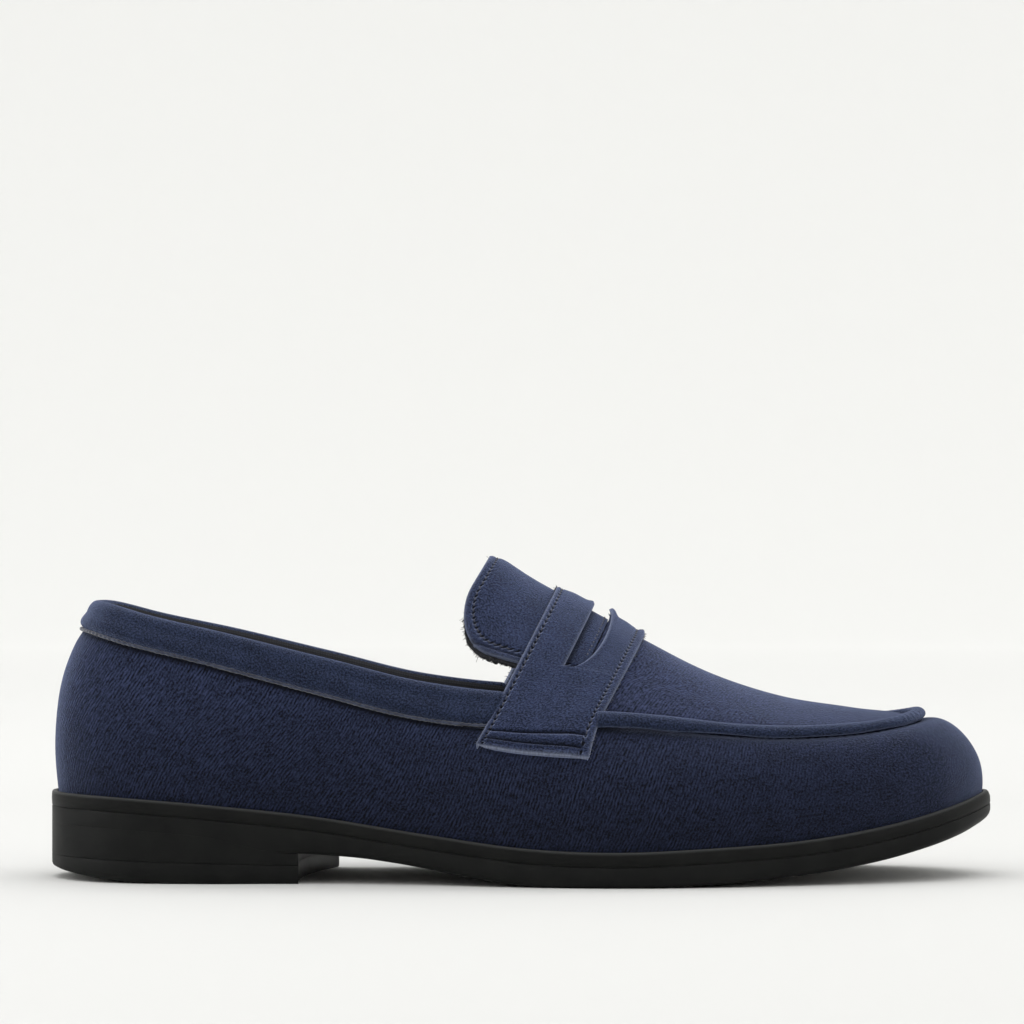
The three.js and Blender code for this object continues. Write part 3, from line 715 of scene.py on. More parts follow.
twill_suede = suede("brushed_navy_twill_suede", "04060b", "323a57", twill=0.66, lean=TWILL_LEAN, sheen=0.65, grain=0.75)
# The apron's copy is lighter than the wall's: painted light for its top, which faces up into the overhead light.
apron_suede = suede("brushed_navy_apron_suede_painted_lighter", "06090f", "3d4565", twill=0.5, lean=10, sheen=0.6, grain=0.9)
plain_suede = suede("navy_suede_nap", "080b15", "394363", stitched=True)
# A darker copy of the plain suede, for the ridge and the collar.
dark_nap = suede("navy_suede_nap_darker", "070a13", "2f3954")

# ---- Side wall ----
# One long suede wrap round the whole shoe. Its foot is turned in under the insole board and cemented to the
# outsole, and its top is sewn to the collar behind the strap and rolled into the apron's seam before it.

LEATHER = 1.6
MARGIN = 10
CORNER = 1.4  # radius where the margin turns in
STITCH_PITCH = 3.1  # mm
SEAM_DEPTH = 0.55  # how far the seams pull the leather in
us = np.linspace(0, ROUND, 480, endpoint=False)
rail_length = np.cumsum(np.linalg.norm(np.diff(rail_at(np.append(us, ROUND)), axis=0), axis=1))


def run_along(points):
    """Distances along a line of points, from its start."""
    return np.append(0, np.cumsum(np.linalg.norm(np.diff(points, axis=0), axis=1)))


def bell(distance, width, power=2):
    """A smooth rise to 1 where distance is 0, about as wide to each side as width."""
    return np.exp(-((distance / width) ** power))


def soft_noise(a, b, amount, seed):
    """Gentle unevenness of hand-lasted leather, from a few waves."""
    waves = np.random.default_rng(seed)
    total = np.zeros(np.broadcast(a, b).shape)
    for _ in range(9):
        fa, fb, phase = waves.uniform(0.4, 2.2), waves.uniform(0.5, 3.0), waves.uniform(0, 2 * math.pi)
        total = total + np.sin(fa * a + fb * b + phase) / 9
    return amount * total


def pucker(length):
    """Small pulls in a seam, one for each stitch."""
    return 0.5 - 0.5 * np.cos(2 * math.pi * length / STITCH_PITCH)


def section_points(us):
    """The wall's outer face as a grid: the margin from its inner edge, the foot's corner, then up to the rail."""
    foot_line = [(MARGIN, 0.1), (5, 0.1), (CORNER, 0.1)]
    for angle in (math.radians(30), math.radians(60)):
        foot_line.append((CORNER - CORNER * math.sin(angle), CORNER + 0.1 - CORNER * math.cos(angle)))
    foot_line += [(0, 1.6), (0, 3.0)]
    rows = [edge_at(us, WALL_INSET + inset)[0] + (0, 0, level - RAND_HEIGHT) for inset, level in foot_line]
    foot, _ = edge_at(us, WALL_INSET)
    tall = np.linalg.norm(rail_at(us) - foot, axis=1)
    from_heel = np.minimum(us, ROUND - us)
    at_toe_cap = bell(TOE - from_heel, 1.4)
    fullness = 2.3 * at_toe_cap + 0.9 * bell(from_heel, 1.2)
    seam_depth = SEAM_DEPTH + 1.2 * smoothstep(from_heel, 6.6, 7.4) * (1 - 0.6 * at_toe_cap)
    for v in np.concatenate([np.linspace(0, 0.86, 24), np.linspace(0.88, 1, 12)]):
        v = v * (1 - 0.5 / tall)
        from_rail = (1 - v) * tall
        pull = seam_depth * bell(from_rail, 2.4) * (0.8 + 0.2 * pucker(rail_length))
        uneven = soft_noise(rail_length / 22, v * 5, 0.28, 7) * np.minimum(1, v * 6)
        dent = pull - fullness * np.sin(math.pi * v**3) - uneven
        rows.append(wall(us, v, dent)[0])
    return np.stack(rows, 1)


def mark(piece, name, values):
    """Stores a value for each point of a grid piece."""
    attribute = piece.data.attributes.new(name, "FLOAT", "POINT")
    attribute.data.foreach_set("value", np.asarray(values, float).ravel())


wall_points = section_points(us)
side_wall = grid_piece("wall_suede", wall_points, closed_rows=True)
# Painted shade: a dark line along the wall's top, wider under the ridge than along the collar seam.
to_rail = np.linalg.norm(wall_points - wall_points[:, -1:], axis=2)
before_strap = smoothstep(np.minimum(us, ROUND - us), 6.6, 7.2)[:, None]
mark(side_wall, "painted_shade", bell(to_rail, 1.3 + 2.0 * before_strap, 4))
apply_modifier(side_wall, "SOLIDIFY", thickness=LEATHER * MM, offset=-1)
place_piece(side_wall, twill_suede, "twill_suede", "side_wall")

# ---- Apron ----
# The plug over the toes and instep, cut from the same skin and let into the wall. The seam draws its edge down
# a little all round, and the end under the strap is sewn to the tongue.

APRON_SEAM = 6.42


def inside_rail(t, distance):
    return 1 - distance / (np.linalg.norm(rail_at(t) - rail_at(ROUND - np.asarray(t)), axis=-1) / 2)


def tongue_seam(b):
    """Stations of the curved seam between tongue and apron, which shows in the slot."""
    return APRON_SEAM - 0.02 + 0.14 * smoothstep(0.74 - np.abs(b), 0, 0.14)


shares = np.concatenate([np.linspace(0, 0.86, 120), np.linspace(0.865, 1, 24)])[:, None]
bs = np.sin(np.linspace(-math.pi / 2, math.pi / 2, 72))[None, :]
first = tongue_seam(bs) + 0.015
ts = first + (TOE - 0.4 - first) * shares
across = bs * inside_rail(ts, 0.5)
from_seam = (1 - np.abs(bs)) * np.linalg.norm(rail_at(ts) - rail_at(ROUND - ts), axis=-1) / 2
sink = -1.0 * bell(from_seam, 2.4) + soft_noise(ts * 2.1, bs * 3, 0.3, 3)
apron = grid_piece("apron_suede", instep(ts, across, sink)[0])
# Painted shade: a dark line along the apron's seam with the wall, beside the ridge.
mark(apron, "painted_shade", 0.7 * bell(from_seam, 2.6, 4))
apply_modifier(apron, "SOLIDIFY", thickness=LEATHER * MM, offset=-1)
place_piece(apron, apron_suede, "twill_suede", "apron")

# ---- Apron ridge ----
# Wall and apron are rolled up together over a cord and sewn through, which leaves a round ridge all along the seam.

RIDGE_WIDTH = 4.5
RIDGE_HEIGHT = 1.55
RIDGE_LIFT = 1.0
STRAP_FRONT = 7.0
us = np.linspace(STRAP_FRONT - 0.03, ROUND - STRAP_FRONT + 0.03, 420)
top = rail_at(us)
sideways = unit(wall_face(us, 1.0) - wall_face(us, 0.96))
along = unit(rail_at(us + 0.01) - rail_at(us - 0.01))
up = np.cross(along, sideways)
length = run_along(top)
from_strap = np.minimum(us, ROUND - us) - STRAP_FRONT
near_strap = 1 - smoothstep(from_strap, 0.3, 2.2)
swell = 1 + soft_noise(length / 9, 0, 0.16, 5) + 0.2 * near_strap
at_end = bell(TOE - STRAP_FRONT - from_strap, 0.8)
lift = RIDGE_LIFT + 0.9 * near_strap + 0.9 * at_end
gathered = 0.07 * np.cos(2 * math.pi * length / 2.6) * bell(TOE - STRAP_FRONT - from_strap, 1.3)
ring = []
for angle in np.linspace(0, 2 * math.pi, 24, endpoint=False):
    wide = (0.5 * RIDGE_WIDTH * math.cos(angle) - 0.3) * swell + 1.3 * at_end
    tall = RIDGE_HEIGHT * math.sin(angle) * (swell + gathered) + lift
    ring.append(top + sideways * wide[:, None] + up * tall[:, None])
apron_ridge = grid_piece("apron_seam_roll", np.stack(ring[::-1], 1), closed_columns=True)
mend(apron_ridge, merge=None, close=True)
place_piece(apron_ridge, dark_nap, "plain_suede", "apron_ridge")

# ---- Tongue ----
# A short arched flap of plain suede, backed with dark lining whose raw edge stands out fuzzy all round. It is
# one piece with the part under the strap, where it is sewn to the apron.

STRAP_REAR = 5.8
TONGUE_END = 4.78
TONGUE_HALF = 0.725
TONGUE_SEAM = 2.6  # mm inside the edge
SLOT_STATION = 6.316  # where the coin slot in the strap begins
TONGUE_CORNER = 15.0  # mm, the rounding of its outline
TONGUE_PRESS = 1.4  # mm inside its sides, where the strap has pressed a line
TONGUE_ROW = 0.045  # stations behind its seam with the apron
STATION = 24.0  # mm, about the length of a station here


def tongue_width(t):
    return np.linalg.norm(rail_at(t) - rail_at(ROUND - np.asarray(t)), axis=-1) * 0.72


def inside_edge(side, end):
    """Distance inside the tongue's rounded outline, from those to its side and to its tip."""
    corner = TONGUE_CORNER - np.hypot(TONGUE_CORNER - side, TONGUE_CORNER - end)
    return np.where((side < TONGUE_CORNER) & (end < TONGUE_CORNER), corner, np.minimum(side, end))


def tongue_grid(reach, rows=120, columns=110):
    """Stations and shares over the tongue, with its sides moved out by reach, and distances to side and tip."""
    bs = np.sin(np.linspace(-math.pi / 2, math.pi / 2, columns))[None, :]
    half_width = tongue_width(TONGUE_END + 0.3) * TONGUE_HALF
    from_side = (1 - np.abs(bs)) * half_width
    over = np.clip(1 - from_side / TONGUE_CORNER, 0, 1)
    tip = TONGUE_END + TONGUE_CORNER / STATION * (1 - np.sqrt(1 - over**2))
    shares = np.linspace(0, 1, rows)[:, None] ** 1.15
    last = tongue_seam(bs * TONGUE_HALF)
    t = tip + (last - tip) * shares
    half = TONGUE_HALF * tongue_width(t)
    return t, bs * TONGUE_HALF * (1 + reach / half), (1 - np.abs(bs)) * half, (t - TONGUE_END) * STATION


def mark_wear(piece, inside, amount):
    """Stores how rubbed the suede is, which fades within a millimetre of the edge."""
    mark(piece, "wear_and_highlight", amount * np.exp(-np.clip(inside, 0, None) / 0.32))


def mark_seam(piece, away, run):
    """Stores the distance from a seam in mm and the way along it in stitches, with holes at every half."""
    mark(piece, "seam_away", away)
    mark(piece, "seam_run", np.broadcast_to(run, away.shape))


def tip_curl(b, end):
    """The tip flares up a little all round, and its middle is bent down at the edge."""
    return 0.9 * np.exp(-end / 9) - 1.4 * bell(end, 3.5) * bell(b, 0.15)


def tongue_height(t, b, side, end):
    inside = inside_edge(side, end)
    seam = -0.3 * bell(inside - TONGUE_SEAM, 0.6)
    edge_roll = -0.6 * bell(np.clip(inside, 0, None), 0.5, 1.5)
    groove = -0.45 * bell(side - TONGUE_PRESS, 0.35) * smoothstep(end, 5, 9)
    lapped = 0.3 * smoothstep(t, APRON_SEAM - 0.2, APRON_SEAM - 0.1)
    return edge_roll + seam + groove + tip_curl(b, end) + lapped + soft_noise(t * 4, b * 4, 0.25, 11)


t, b, side, end = tongue_grid(0)
tongue = grid_piece("tongue_suede", instep(t, b, tongue_height(t, b, side, end))[0])
mark_wear(tongue, inside_edge(side, end), 0.6)
mark_seam(tongue, inside_edge(side, end) - TONGUE_SEAM, (end - side) / SEAM_PITCH)
# Painted shade in the groove that the strap pressed, and along the slot's rear edge where the strap shades the tongue.
groove_shade = 0.8 * bell(side - TONGUE_PRESS, 0.4) * smoothstep(end, 5, 9)
slot_edge_shade = bell(t - SLOT_STATION - 0.02, 0.035)
mark(tongue, "painted_shade", np.maximum(groove_shade, slot_edge_shade))
apply_modifier(tongue, "SOLIDIFY", thickness=LEATHER * MM, offset=-1)

place_piece(tongue, plain_suede, "plain_suede", "tongue", "tongue_base", body=None)
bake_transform(tongue)

# Its lining: dark woven cloth with a brushed edge of loose fibres.
lining, lining_shader = new_material("dark_lining_cloth", {"Roughness": 0.9, "Sheen Weight": 0.15})
coordinates = add_node(lining, "TexCoord")
THREAD = 0.4  # mm, the cloth's thread, drawn coarser than the real one so that it shows
warp, weft = (
    add_node(
        lining,
        "TexWave",
        {"Scale": math.pi / (20 * THREAD * MM), "Distortion": 0.6, "bands_direction": direction},
        {"Vector": coordinates.outputs["UV"]},
    )
    for direction in "XY"
)
weave = add_node(lining, "Math", {"operation": "MULTIPLY"}, {0: warp.outputs["Fac"], 1: weft.outputs["Fac"]})
tone = add_node(lining, "ValToRGB", {"stops": [(0, "14151b"), (1, "24252d")]}, {"Fac": weave})
bump = add_node(lining, "Bump", {"Strength": 0.5, "Distance": 0.0002}, {"Height": weave})
wire(lining_shader, {"Base Color": tone, "Normal": bump})

t, b, side, end = tongue_grid(0.8)
t = t + 0.06 * np.exp(-end / 5)
ragged = soft_noise(end * 1.9, side * 1.3, 0.5, 8) * (inside_edge(side, end) < 0.6)
depth = LEATHER + 0.05 - tip_curl(b, end) - ragged
tongue_lining = grid_piece("tongue_lining_cloth", instep(t, b, -depth)[0])
apply_modifier(tongue_lining, "SOLIDIFY", thickness=0.9 * MM, offset=-1)
place_piece(tongue_lining, lining, "lining_textile", "tongue_lining", body=None)
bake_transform(tongue_lining)

# Its loose edge fibres: short dark hairs all round the cut.


def thread_piece(name, starts, ends, radius, sides=4, swell=1.0):
    """Many short threads as one mesh: each is a spindle from its start to its end, in mm."""
    starts, ends = np.asarray(starts, float), np.asarray(ends, float)
    along = ends - starts
    along /= np.linalg.norm(along, axis=1, keepdims=True) + 1e-12
    helper = np.where(np.abs(along[:, 2:3]) < 0.9, [[0, 0, 1.0]], [[1.0, 0, 0]])
    side = unit(np.cross(along, helper))
    other = np.cross(along, side)
    angles = np.arange(sides) * 2 * math.pi / sides
    rings = []
    for f, size in ((0.12, 0.75), (0.5, swell), (0.88, 0.75)):
        middle = starts + (ends - starts) * f
        for angle in angles:
            rings.append(middle + (side * math.cos(angle) + other * math.sin(angle)) * radius * size)
    points = np.stack([starts] + rings + [ends], 1)
    per = points.shape[1]
    faces = []
    for k in range(sides):
        after = (k + 1) % sides
        faces.append((0, 1 + after, 1 + k))
        for ring in range(2):
            low, high = 1 + ring * sides, 1 + (ring + 1) * sides
            faces.append((low + k, low + after, high + after, high + k))
        faces.append((per - 1, 1 + 2 * sides + k, 1 + 2 * sides + after))
    all_faces = [tuple(i * per + corner for corner in face) for i in range(len(points)) for face in faces]
    piece = smooth_piece(name, points, all_faces)
    mend(piece, 0.000001)
    return piece


def tongue_rim(inset, first_end=22.0):
    """Distances to side and tip along one half of a line that runs inset mm inside the tongue's edge."""
    turn = np.linspace(0, math.pi / 2, 30)
    corner = TONGUE_CORNER - inset
    middle = tongue_width(TONGUE_END + 0.1) * TONGUE_HALF
    side = [np.full(60, inset), TONGUE_CORNER - corner * np.cos(turn), np.linspace(TONGUE_CORNER, middle, 60)]
    end = [np.linspace(first_end, TONGUE_CORNER, 60), TONGUE_CORNER - corner * np.sin(turn), np.full(60, inset)]
    return np.concatenate(side), np.concatenate(end)


def tongue_place(side, end, which):
    t = TONGUE_END + end / STATION
    return t, which * TONGUE_HALF * (1 - side / (TONGUE_HALF * tongue_width(t)))


hair = np.random.default_rng(21)


def stand_out(edge, inner, spread, sunk, reach):
    """Starts and ends of loose fibres, which point from inner out over the edge, each a little astray."""
    way = unit(edge - inner) + hair.normal(0, spread, edge.shape)
    return edge - way * sunk, edge + way * hair.uniform(*reach, (len(edge), 1))


tufts = []
t, b, side, end = tongue_grid(0.6)
half_row = slice(0, t.shape[1] // 2)
for t, b, end in ((t, b, end), (t[:, ::-1], b[:, ::-1], end[:, ::-1])):
    t, b, end = (np.concatenate([values[60::-1, 0], values[0, half_row]]) for values in (t, b, end))
    rim, _ = instep(t, b)
    way = run_along(rim)
    spots = np.sort(way[-1] * hair.beta(1.0, 1.4, 520))
    t, b, end = (np.interp(spots, way, values) for values in (t, b, end))
    low = tip_curl(b, end) - LEATHER - hair.uniform(-0.2, 0.8, len(t))
    t = t + 0.06 * np.exp(-end / 5)
    root, _ = instep(t, b, low)
    inner, _ = instep(t + 0.1 * (5.5 - t), 0.93 * b, low)
    tufts.append(stand_out(root, inner, 0.45, 0.2, (0.3, 1.0)))
fibres = thread_piece("tongue_edge_fibres", *np.concatenate(tufts, 1), 0.08, 3)
place_piece(fibres, lining, "lining_textile", body=None)
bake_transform(fibres)

# ---- Stitching ----
# Bonded polyester thread in a lockstitch. Each stitch lies on the suede between two holes that it is pulled
# into, so it shows as a short pale bar between dark pits, whose shade is painted into the suede's colour.


def mottled(name, stops, mottle, bump, finish):
    """A material mottled by one noise: its colours, its noise and bump settings, and its finish."""
    material, shader = new_material(name, finish)
    place = add_node(material, "TexCoord")
    spots = add_node(material, "TexNoise", mottle, {"Vector": place.outputs["Object"]})
    tone = add_node(material, "ValToRGB", {"stops": stops}, {"Fac": spots})
    skin = add_node(material, "Bump", bump, {"Height": spots})
    wire(shader, {"Base Color": tone, "Normal": skin})
    return material


thread_navy = mottled(
    "bonded_navy_thread",
    [(0.3, "141929"), (0.75, "2e3752")],
    {"Scale": 900, "Detail": 3},
    {"Strength": 0.4, "Distance": 0.0001},
    {"Roughness": 0.6, "Sheen Weight": 0.3},
)


def stitch_row(name, runs, points, radius=0.24, fill=0.62, body="shoe"):
    """Stitches along points on the suede, each centred on a whole number of runs."""
    order = np.argsort(runs)
    runs, points = runs[order], points[order]
    numbers = np.arange(math.ceil(runs[0] + 0.5), math.floor(runs[-1] - 0.5) + 1)
    starts, ends = (
        np.stack([np.interp(numbers + shift, runs, points[:, k]) for k in range(3)], 1)
        for shift in (-fill / 2, fill / 2)
    )
    row = thread_piece(name, starts, ends, radius, 6)
    place_piece(row, thread_navy, "plain_suede", body=body)
    return row


for name, which in (("lateral", -1), ("medial", 1)):
    side, end = tongue_rim(TONGUE_SEAM)
    t, b = tongue_place(side, end, which)
    points, _ = instep(t, b, tongue_height(t, b, side, end) + 0.1)
    row = stitch_row(f"tongue_edge_stitches_{name}", (end - side) / SEAM_PITCH, points, body=None)
    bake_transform(row)
bs = np.linspace(-0.62, 0.62, 200)
points, _ = instep(tongue_seam(bs) - TONGUE_ROW, bs, 0.3)
stitch_row("tongue_seam_stitches", run_along(points) / SEAM_PITCH, points)

# ---- Saddle strap ----
# The band of plain suede over the instep, folded at its edges and edge-stitched, with the coin slot cut through
# its middle. The slot's front lip curls up to a small peak at the crown. Its ends are sewn down on the walls.

STRAP_ARC = 0.86
STRAP_LIFT = 0.35
STRAP_THICK = 2.2  # folded double
SLOT_HALF = 0.62
SLOT_REAR = 0.43
SLOT_WIDTH = 0.25
SLOT_PEAK = 0.1
BAR_REAR, BAR_FRONT = 0.45, 0.6
REAR_STITCH = 1.9  # mm inside the rear edge
FRONT_STITCH = 2.7
LOW_STITCH = 1.3


def strap_bare(p, q):
    t = STRAP_REAR + (STRAP_FRONT - STRAP_REAR) * p
    past = np.clip((np.abs(q) - STRAP_ARC) / (1 - STRAP_ARC), 0, None)
    over = instep_face(t, np.clip(q / STRAP_ARC, -1, 1))
    u = t - (0.11 + 0.03 * p) * past
    down = wall_face(np.where(q < 0, u, ROUND - u), 1 - (0.15 + 0.16 * p) * past)
    return np.where((past > 0)[..., None], down, over)


def strap_face(p, q):
    """The strap's seat on the upper, with its bend over the rail eased as leather bends."""
    p, q = np.broadcast_arrays(np.asarray(p, float), np.asarray(q, float))
    ease = 0.045 * smoothstep(1 - np.abs(q), 0.0, 0.12)
    shifts = np.linspace(-1, 1, 7)
    return np.mean([strap_bare(p, q + ease * shift) for shift in shifts], axis=0)


def slot_front(q):
    s = np.clip(np.abs(q) / SLOT_HALF, 0, 1)
    lip = SLOT_WIDTH * np.sqrt(1 - s**6) - SLOT_PEAK * (1 - s) ** 2
    return SLOT_REAR + np.where(s < 1, np.maximum(lip, 0), 0)


def strap_width(q):
    return np.linalg.norm(strap_face(1.0, q) - strap_face(0.0, q), axis=-1)


def strap_length(q_samples):
    line = strap_face(0.5, q_samples)
    return run_along(line)


def bar_line(p):
    return STRAP_ARC + (1 - STRAP_ARC) * (BAR_REAR + (BAR_FRONT - BAR_REAR) * p)


def strap_surface(p, q, along):
    """Points of the strap's outer face and their distances in mm inside the nearest edge."""
    width = strap_width(q)
    rear, front = p * width, (1 - p) * width
    end = np.minimum(along, along[-1] - along)
    in_slot = np.abs(q) < SLOT_HALF
    slot_rear = np.where(in_slot & (p <= SLOT_REAR), (SLOT_REAR - p) * width, 99)
    slot_lip = np.where(in_slot & (p > SLOT_REAR), (p - slot_front(q)) * width, 99)
    inside = np.minimum.reduce([rear, front, end + 0 * p, slot_rear, slot_lip])
    puff = 0.55 * smoothstep(np.minimum(rear - REAR_STITCH, front - FRONT_STITCH), 0, 5)
    round_off = -0.75 * bell(np.clip(inside, 0, None), 0.5, 1.5)
    seam = -0.4 * bell(rear - REAR_STITCH, 0.45) - 0.4 * bell(front - FRONT_STITCH, 0.45)
    low = -0.35 * bell(end - LOW_STITCH, 0.45)
    from_bar = (np.abs(q) - bar_line(p)) / (1 - STRAP_ARC) * 14.0
    channel = -0.75 * bell(np.abs(from_bar) - 2.4, 0.65) + 0.9 * bell(from_bar, 1.7, 4)
    off_edges = smoothstep(rear, 1.5, 3) * smoothstep(front, 2.2, 3.6)
    near_crown = smoothstep(SLOT_HALF - np.abs(q), 0, 0.6)
    curl = 1.7 * bell(slot_lip - 0.7, 1.7) * near_crown
    curl += 0.7 * bell(slot_rear - 0.5, 1.5) * near_crown
    curl += 0.8 * bell(front - 0.7, 1.2) * near_crown
    frayed = soft_noise(along * 5, p * 0, 0.3, 19) * np.exp(-np.clip(inside, 0, None) / 0.5)
    height = STRAP_LIFT + LEATHER + puff + round_off + seam + low + channel * off_edges + curl + frayed
    height += soft_noise(p * 4, q * 9, 0.22, 13)
    points, _ = above(strap_face, p, q, height, (-1, 2), (-1, 1))
    # Painted shade in the grooves on both sides of the bar.
    painted_shade = bell(np.abs(from_bar) - 2.4, 0.75) * off_edges
    return points, inside, painted_shade


def spaced(low, high, count, ends=0.18):
    """Samples from low to high, closer at both ends."""
    f = np.linspace(0, 1, count)
    eased = f - (1 - ends) * np.sin(2 * math.pi * f) / (2 * math.pi)
    return low + (high - low) * eased


qs = np.concatenate([spaced(-1, -SLOT_HALF, 110, 0.5), spaced(-SLOT_HALF, SLOT_HALF, 221, 0.35)[1:-1]])
qs = np.concatenate([qs, spaced(SLOT_HALF, 1, 110, 0.5)])
along = strap_length(qs)
rear_share = spaced(0, 1, 36, 0.25)[:, None]
front_share = spaced(0, 1, 40, 0.25)[:, None]
rear_p = rear_share * SLOT_REAR + 0 * qs
front_p = slot_front(qs) + front_share * (1 - slot_front(qs))
strap_halves = []
for name, p in (("strap_rear_band", rear_p), ("strap_front_band", front_p)):
    points, inside, painted_shade = strap_surface(p, qs[None, :] + 0 * p, along)
    half = grid_piece(name, points)
    mark_wear(half, inside, 1.0)
    mark(half, "painted_shade", painted_shade)
    width = strap_width(qs[None, :] + 0 * p)
    rear, front = p * width - REAR_STITCH, (1 - p) * width - FRONT_STITCH
    mark_seam(half, np.where(np.abs(rear) < np.abs(front), rear, front), along / SEAM_PITCH)
    strap_halves.append(half)
select_only(*strap_halves)
bpy.ops.object.join()
strap = bpy.context.object
strap.name = "saddle_strap_suede"
mend(strap, 0.00002, outwards=False)
apply_modifier(strap, "SOLIDIFY", thickness=STRAP_THICK * MM, offset=-1)
place_piece(strap, plain_suede, "plain_suede", "saddle_strap", "strap_bar_lateral", "strap_bar_medial")

widths = strap_width(np.linspace(-1, 1, 101))
for name, distance, from_front in (("strap_rear_stitches", REAR_STITCH, 0), ("strap_front_stitches", FRONT_STITCH, 1)):
    q = np.linspace(-0.97, 0.97, 900)
    share = distance / np.interp(q, np.linspace(-1, 1, 101), widths)
    p = np.abs(from_front - share)
    run = np.interp(q, qs, along)
    points, _ = above(strap_face, p, q, STRAP_LIFT + LEATHER - 0.25, (-1, 2), (-1, 1))
    stitch_row(name, run / SEAM_PITCH, points)

# Loose fibres stand out along its cut edges.
tufts = []
for edge_p, other_p in ((0.0, 0.04), (1.0, 0.96)):
    q = np.sort(hair.uniform(-1, 1, 520))
    edge, _ = above(strap_face, np.full_like(q, edge_p), q, STRAP_LIFT + hair.uniform(0.2, 1.3, len(q)), (-1, 2))
    inner = above(strap_face, np.full_like(q, other_p), q, STRAP_LIFT + 0.8, (-1, 2))[0]
    tufts.append(stand_out(edge, inner, 0.5, 0.1, (0.15, 0.55)))
fray = thread_piece("strap_edge_fibres", *np.concatenate(tufts, 1), 0.05, 3)
place_piece(fray, thread_navy, "plain_suede")

# ---- Collar ----
# A suede band folded over a strip of foam, round the foot opening from one end of the strap to the other. It is
# sewn to the wall along its foot, which pulls it in there, and it swells between.

COLLAR_END = 6.0
COLLAR_FOOT = 1.2
COLLAR_TUCK = 0.9  # how far its foot goes down into the seam
LINED_FROM = 21  # the row of its ring where the suede ends inside and the lining cloth begins
COLLAR_HEIGHT = 12
COLLAR_HEEL_HEIGHT = 10.2
COLLAR_ROUND = 4.5
COLLAR_PROUD = 1.4
COLLAR_DEEP = 4


def collar_point(u, out, up):
    top, _ = wall(u, 1.0, -np.asarray(out))
    rise = unit(wall_face(u, 1.0) - wall_face(u, 0.97))
    along = rail_at(u + 0.05) - rail_at(u - 0.05)
    forward = np.where(along[..., 0:1] > 0, 1, -1)
    along /= np.linalg.norm(along, axis=-1, keepdims=True)
    up = np.broadcast_to(np.asarray(up, float), u.shape)[..., None]
    return top + rise * up + along * forward * through(RAKE, u) * up


us = np.linspace(-COLLAR_END, COLLAR_END, 460)
rail_run = run_along(rail_at(us))
height = COLLAR_HEEL_HEIGHT + (COLLAR_HEIGHT - COLLAR_HEEL_HEIGHT) * smoothstep(np.abs(us), 0, 2)
under_strap = smoothstep(np.abs(us), 5.74, 5.92)
proud = COLLAR_PROUD - 2.2 * under_strap - 0.8 * bell(us, 0.9)
height = height - 3 * under_strap - bell(np.abs(us) - 2.2, 1.2)
middle = (proud - COLLAR_DEEP) / 2
half_wide = (proud + COLLAR_DEEP) / 2
ring = []
outer_ups = np.linspace(0, 1, 12)
for f in outer_ups:
    up = COLLAR_FOOT - COLLAR_TUCK + (height - COLLAR_ROUND - COLLAR_FOOT + COLLAR_TUCK) * f
    tuck = 1.5 * bell(f, 0.14, 1.6) * (0.8 + 0.2 * pucker(rail_run))
    swell = 0.75 * math.sin(math.pi * f**0.8) * (1 - under_strap) + soft_noise(rail_run / 14, f * 3, 0.3, 31)
    ring.append(collar_point(us, proud - tuck * (1 - under_strap) + swell, up))
for angle in np.linspace(0, math.pi, 16)[1:-1]:
    wave = soft_noise(rail_run / 14, 3 + angle, 0.25, 31)
    wide = middle + (half_wide + wave) * math.cos(angle)
    ring.append(collar_point(us, wide, height - COLLAR_ROUND + COLLAR_ROUND * math.sin(angle) + wave * 0.5))
for f in outer_ups[::-1]:
    up = COLLAR_FOOT - COLLAR_TUCK + (height - COLLAR_ROUND - COLLAR_FOOT + COLLAR_TUCK) * f
    tuck = 1.0 * bell(f, 0.12, 1.6)
    swell = 0.5 * math.sin(math.pi * f**0.8) + soft_noise(rail_run / 14, 9 + f * 3, 0.25, 31)
    ring.append(collar_point(us, -COLLAR_DEEP + tuck - swell, up))
collar = grid_piece("collar_padded_band", np.stack(ring, 1), closed_columns=True)
mend(collar, merge=None, close=True)
place_piece(collar, dark_nap, "plain_suede", "collar_band")
collar.data.materials.append(lining)
for face in collar.data.polygons:
    if face.index % len(ring) in range(LINED_FROM, len(ring)):
        face.material_index = 1

# The piping in the collar's seam: a thin bias-cut strip of suede folded over a cord.
piping_suede = mottled(
    "rubbed_suede_piping",
    [(0.35, "12162a"), (0.75, "3c465e")],
    {"Scale": 700, "Detail": 4, "Roughness": 0.7},
    {"Strength": 0.5, "Distance": 0.0002},
    {"Roughness": 0.9, "Sheen Weight": 0.6},
)

PIPING_RADIUS = 0.5
PIPING_OUT = 0.3
PIPING_END = 5.8
us = np.linspace(-PIPING_END, PIPING_END, 1100)
run = run_along(rail_at(us))
uneven = 1 + soft_noise(run / 2.0, 0, 0.3, 17) + 0.16 * np.cos(2 * math.pi * run / 1.9)
sag = soft_noise(run / 9, 0, 0.25, 18)
ring = []
for angle in np.linspace(0, 2 * math.pi, 12, endpoint=False):
    out = PIPING_OUT + PIPING_RADIUS * math.cos(angle) * uneven
    ring.append(collar_point(us, out, PIPING_RADIUS * math.sin(angle) * uneven + sag))
piping = grid_piece("collar_seam_piping", np.stack(ring, 1), closed_columns=True)
mend(piping, merge=None, close=True)
place_piece(piping, piping_suede, "piping_suede", "collar_piping")

# ---- Linings and stiffeners ----
# Woven lining from the seat to the collar, in a quarter and a vamp part, with a leather grip at the heel. The
# stiffeners, the pads and the sole's inner parts lie hidden between upper, lining and sock.

LINING = 0.9
LINING_DEPTH = 3.4


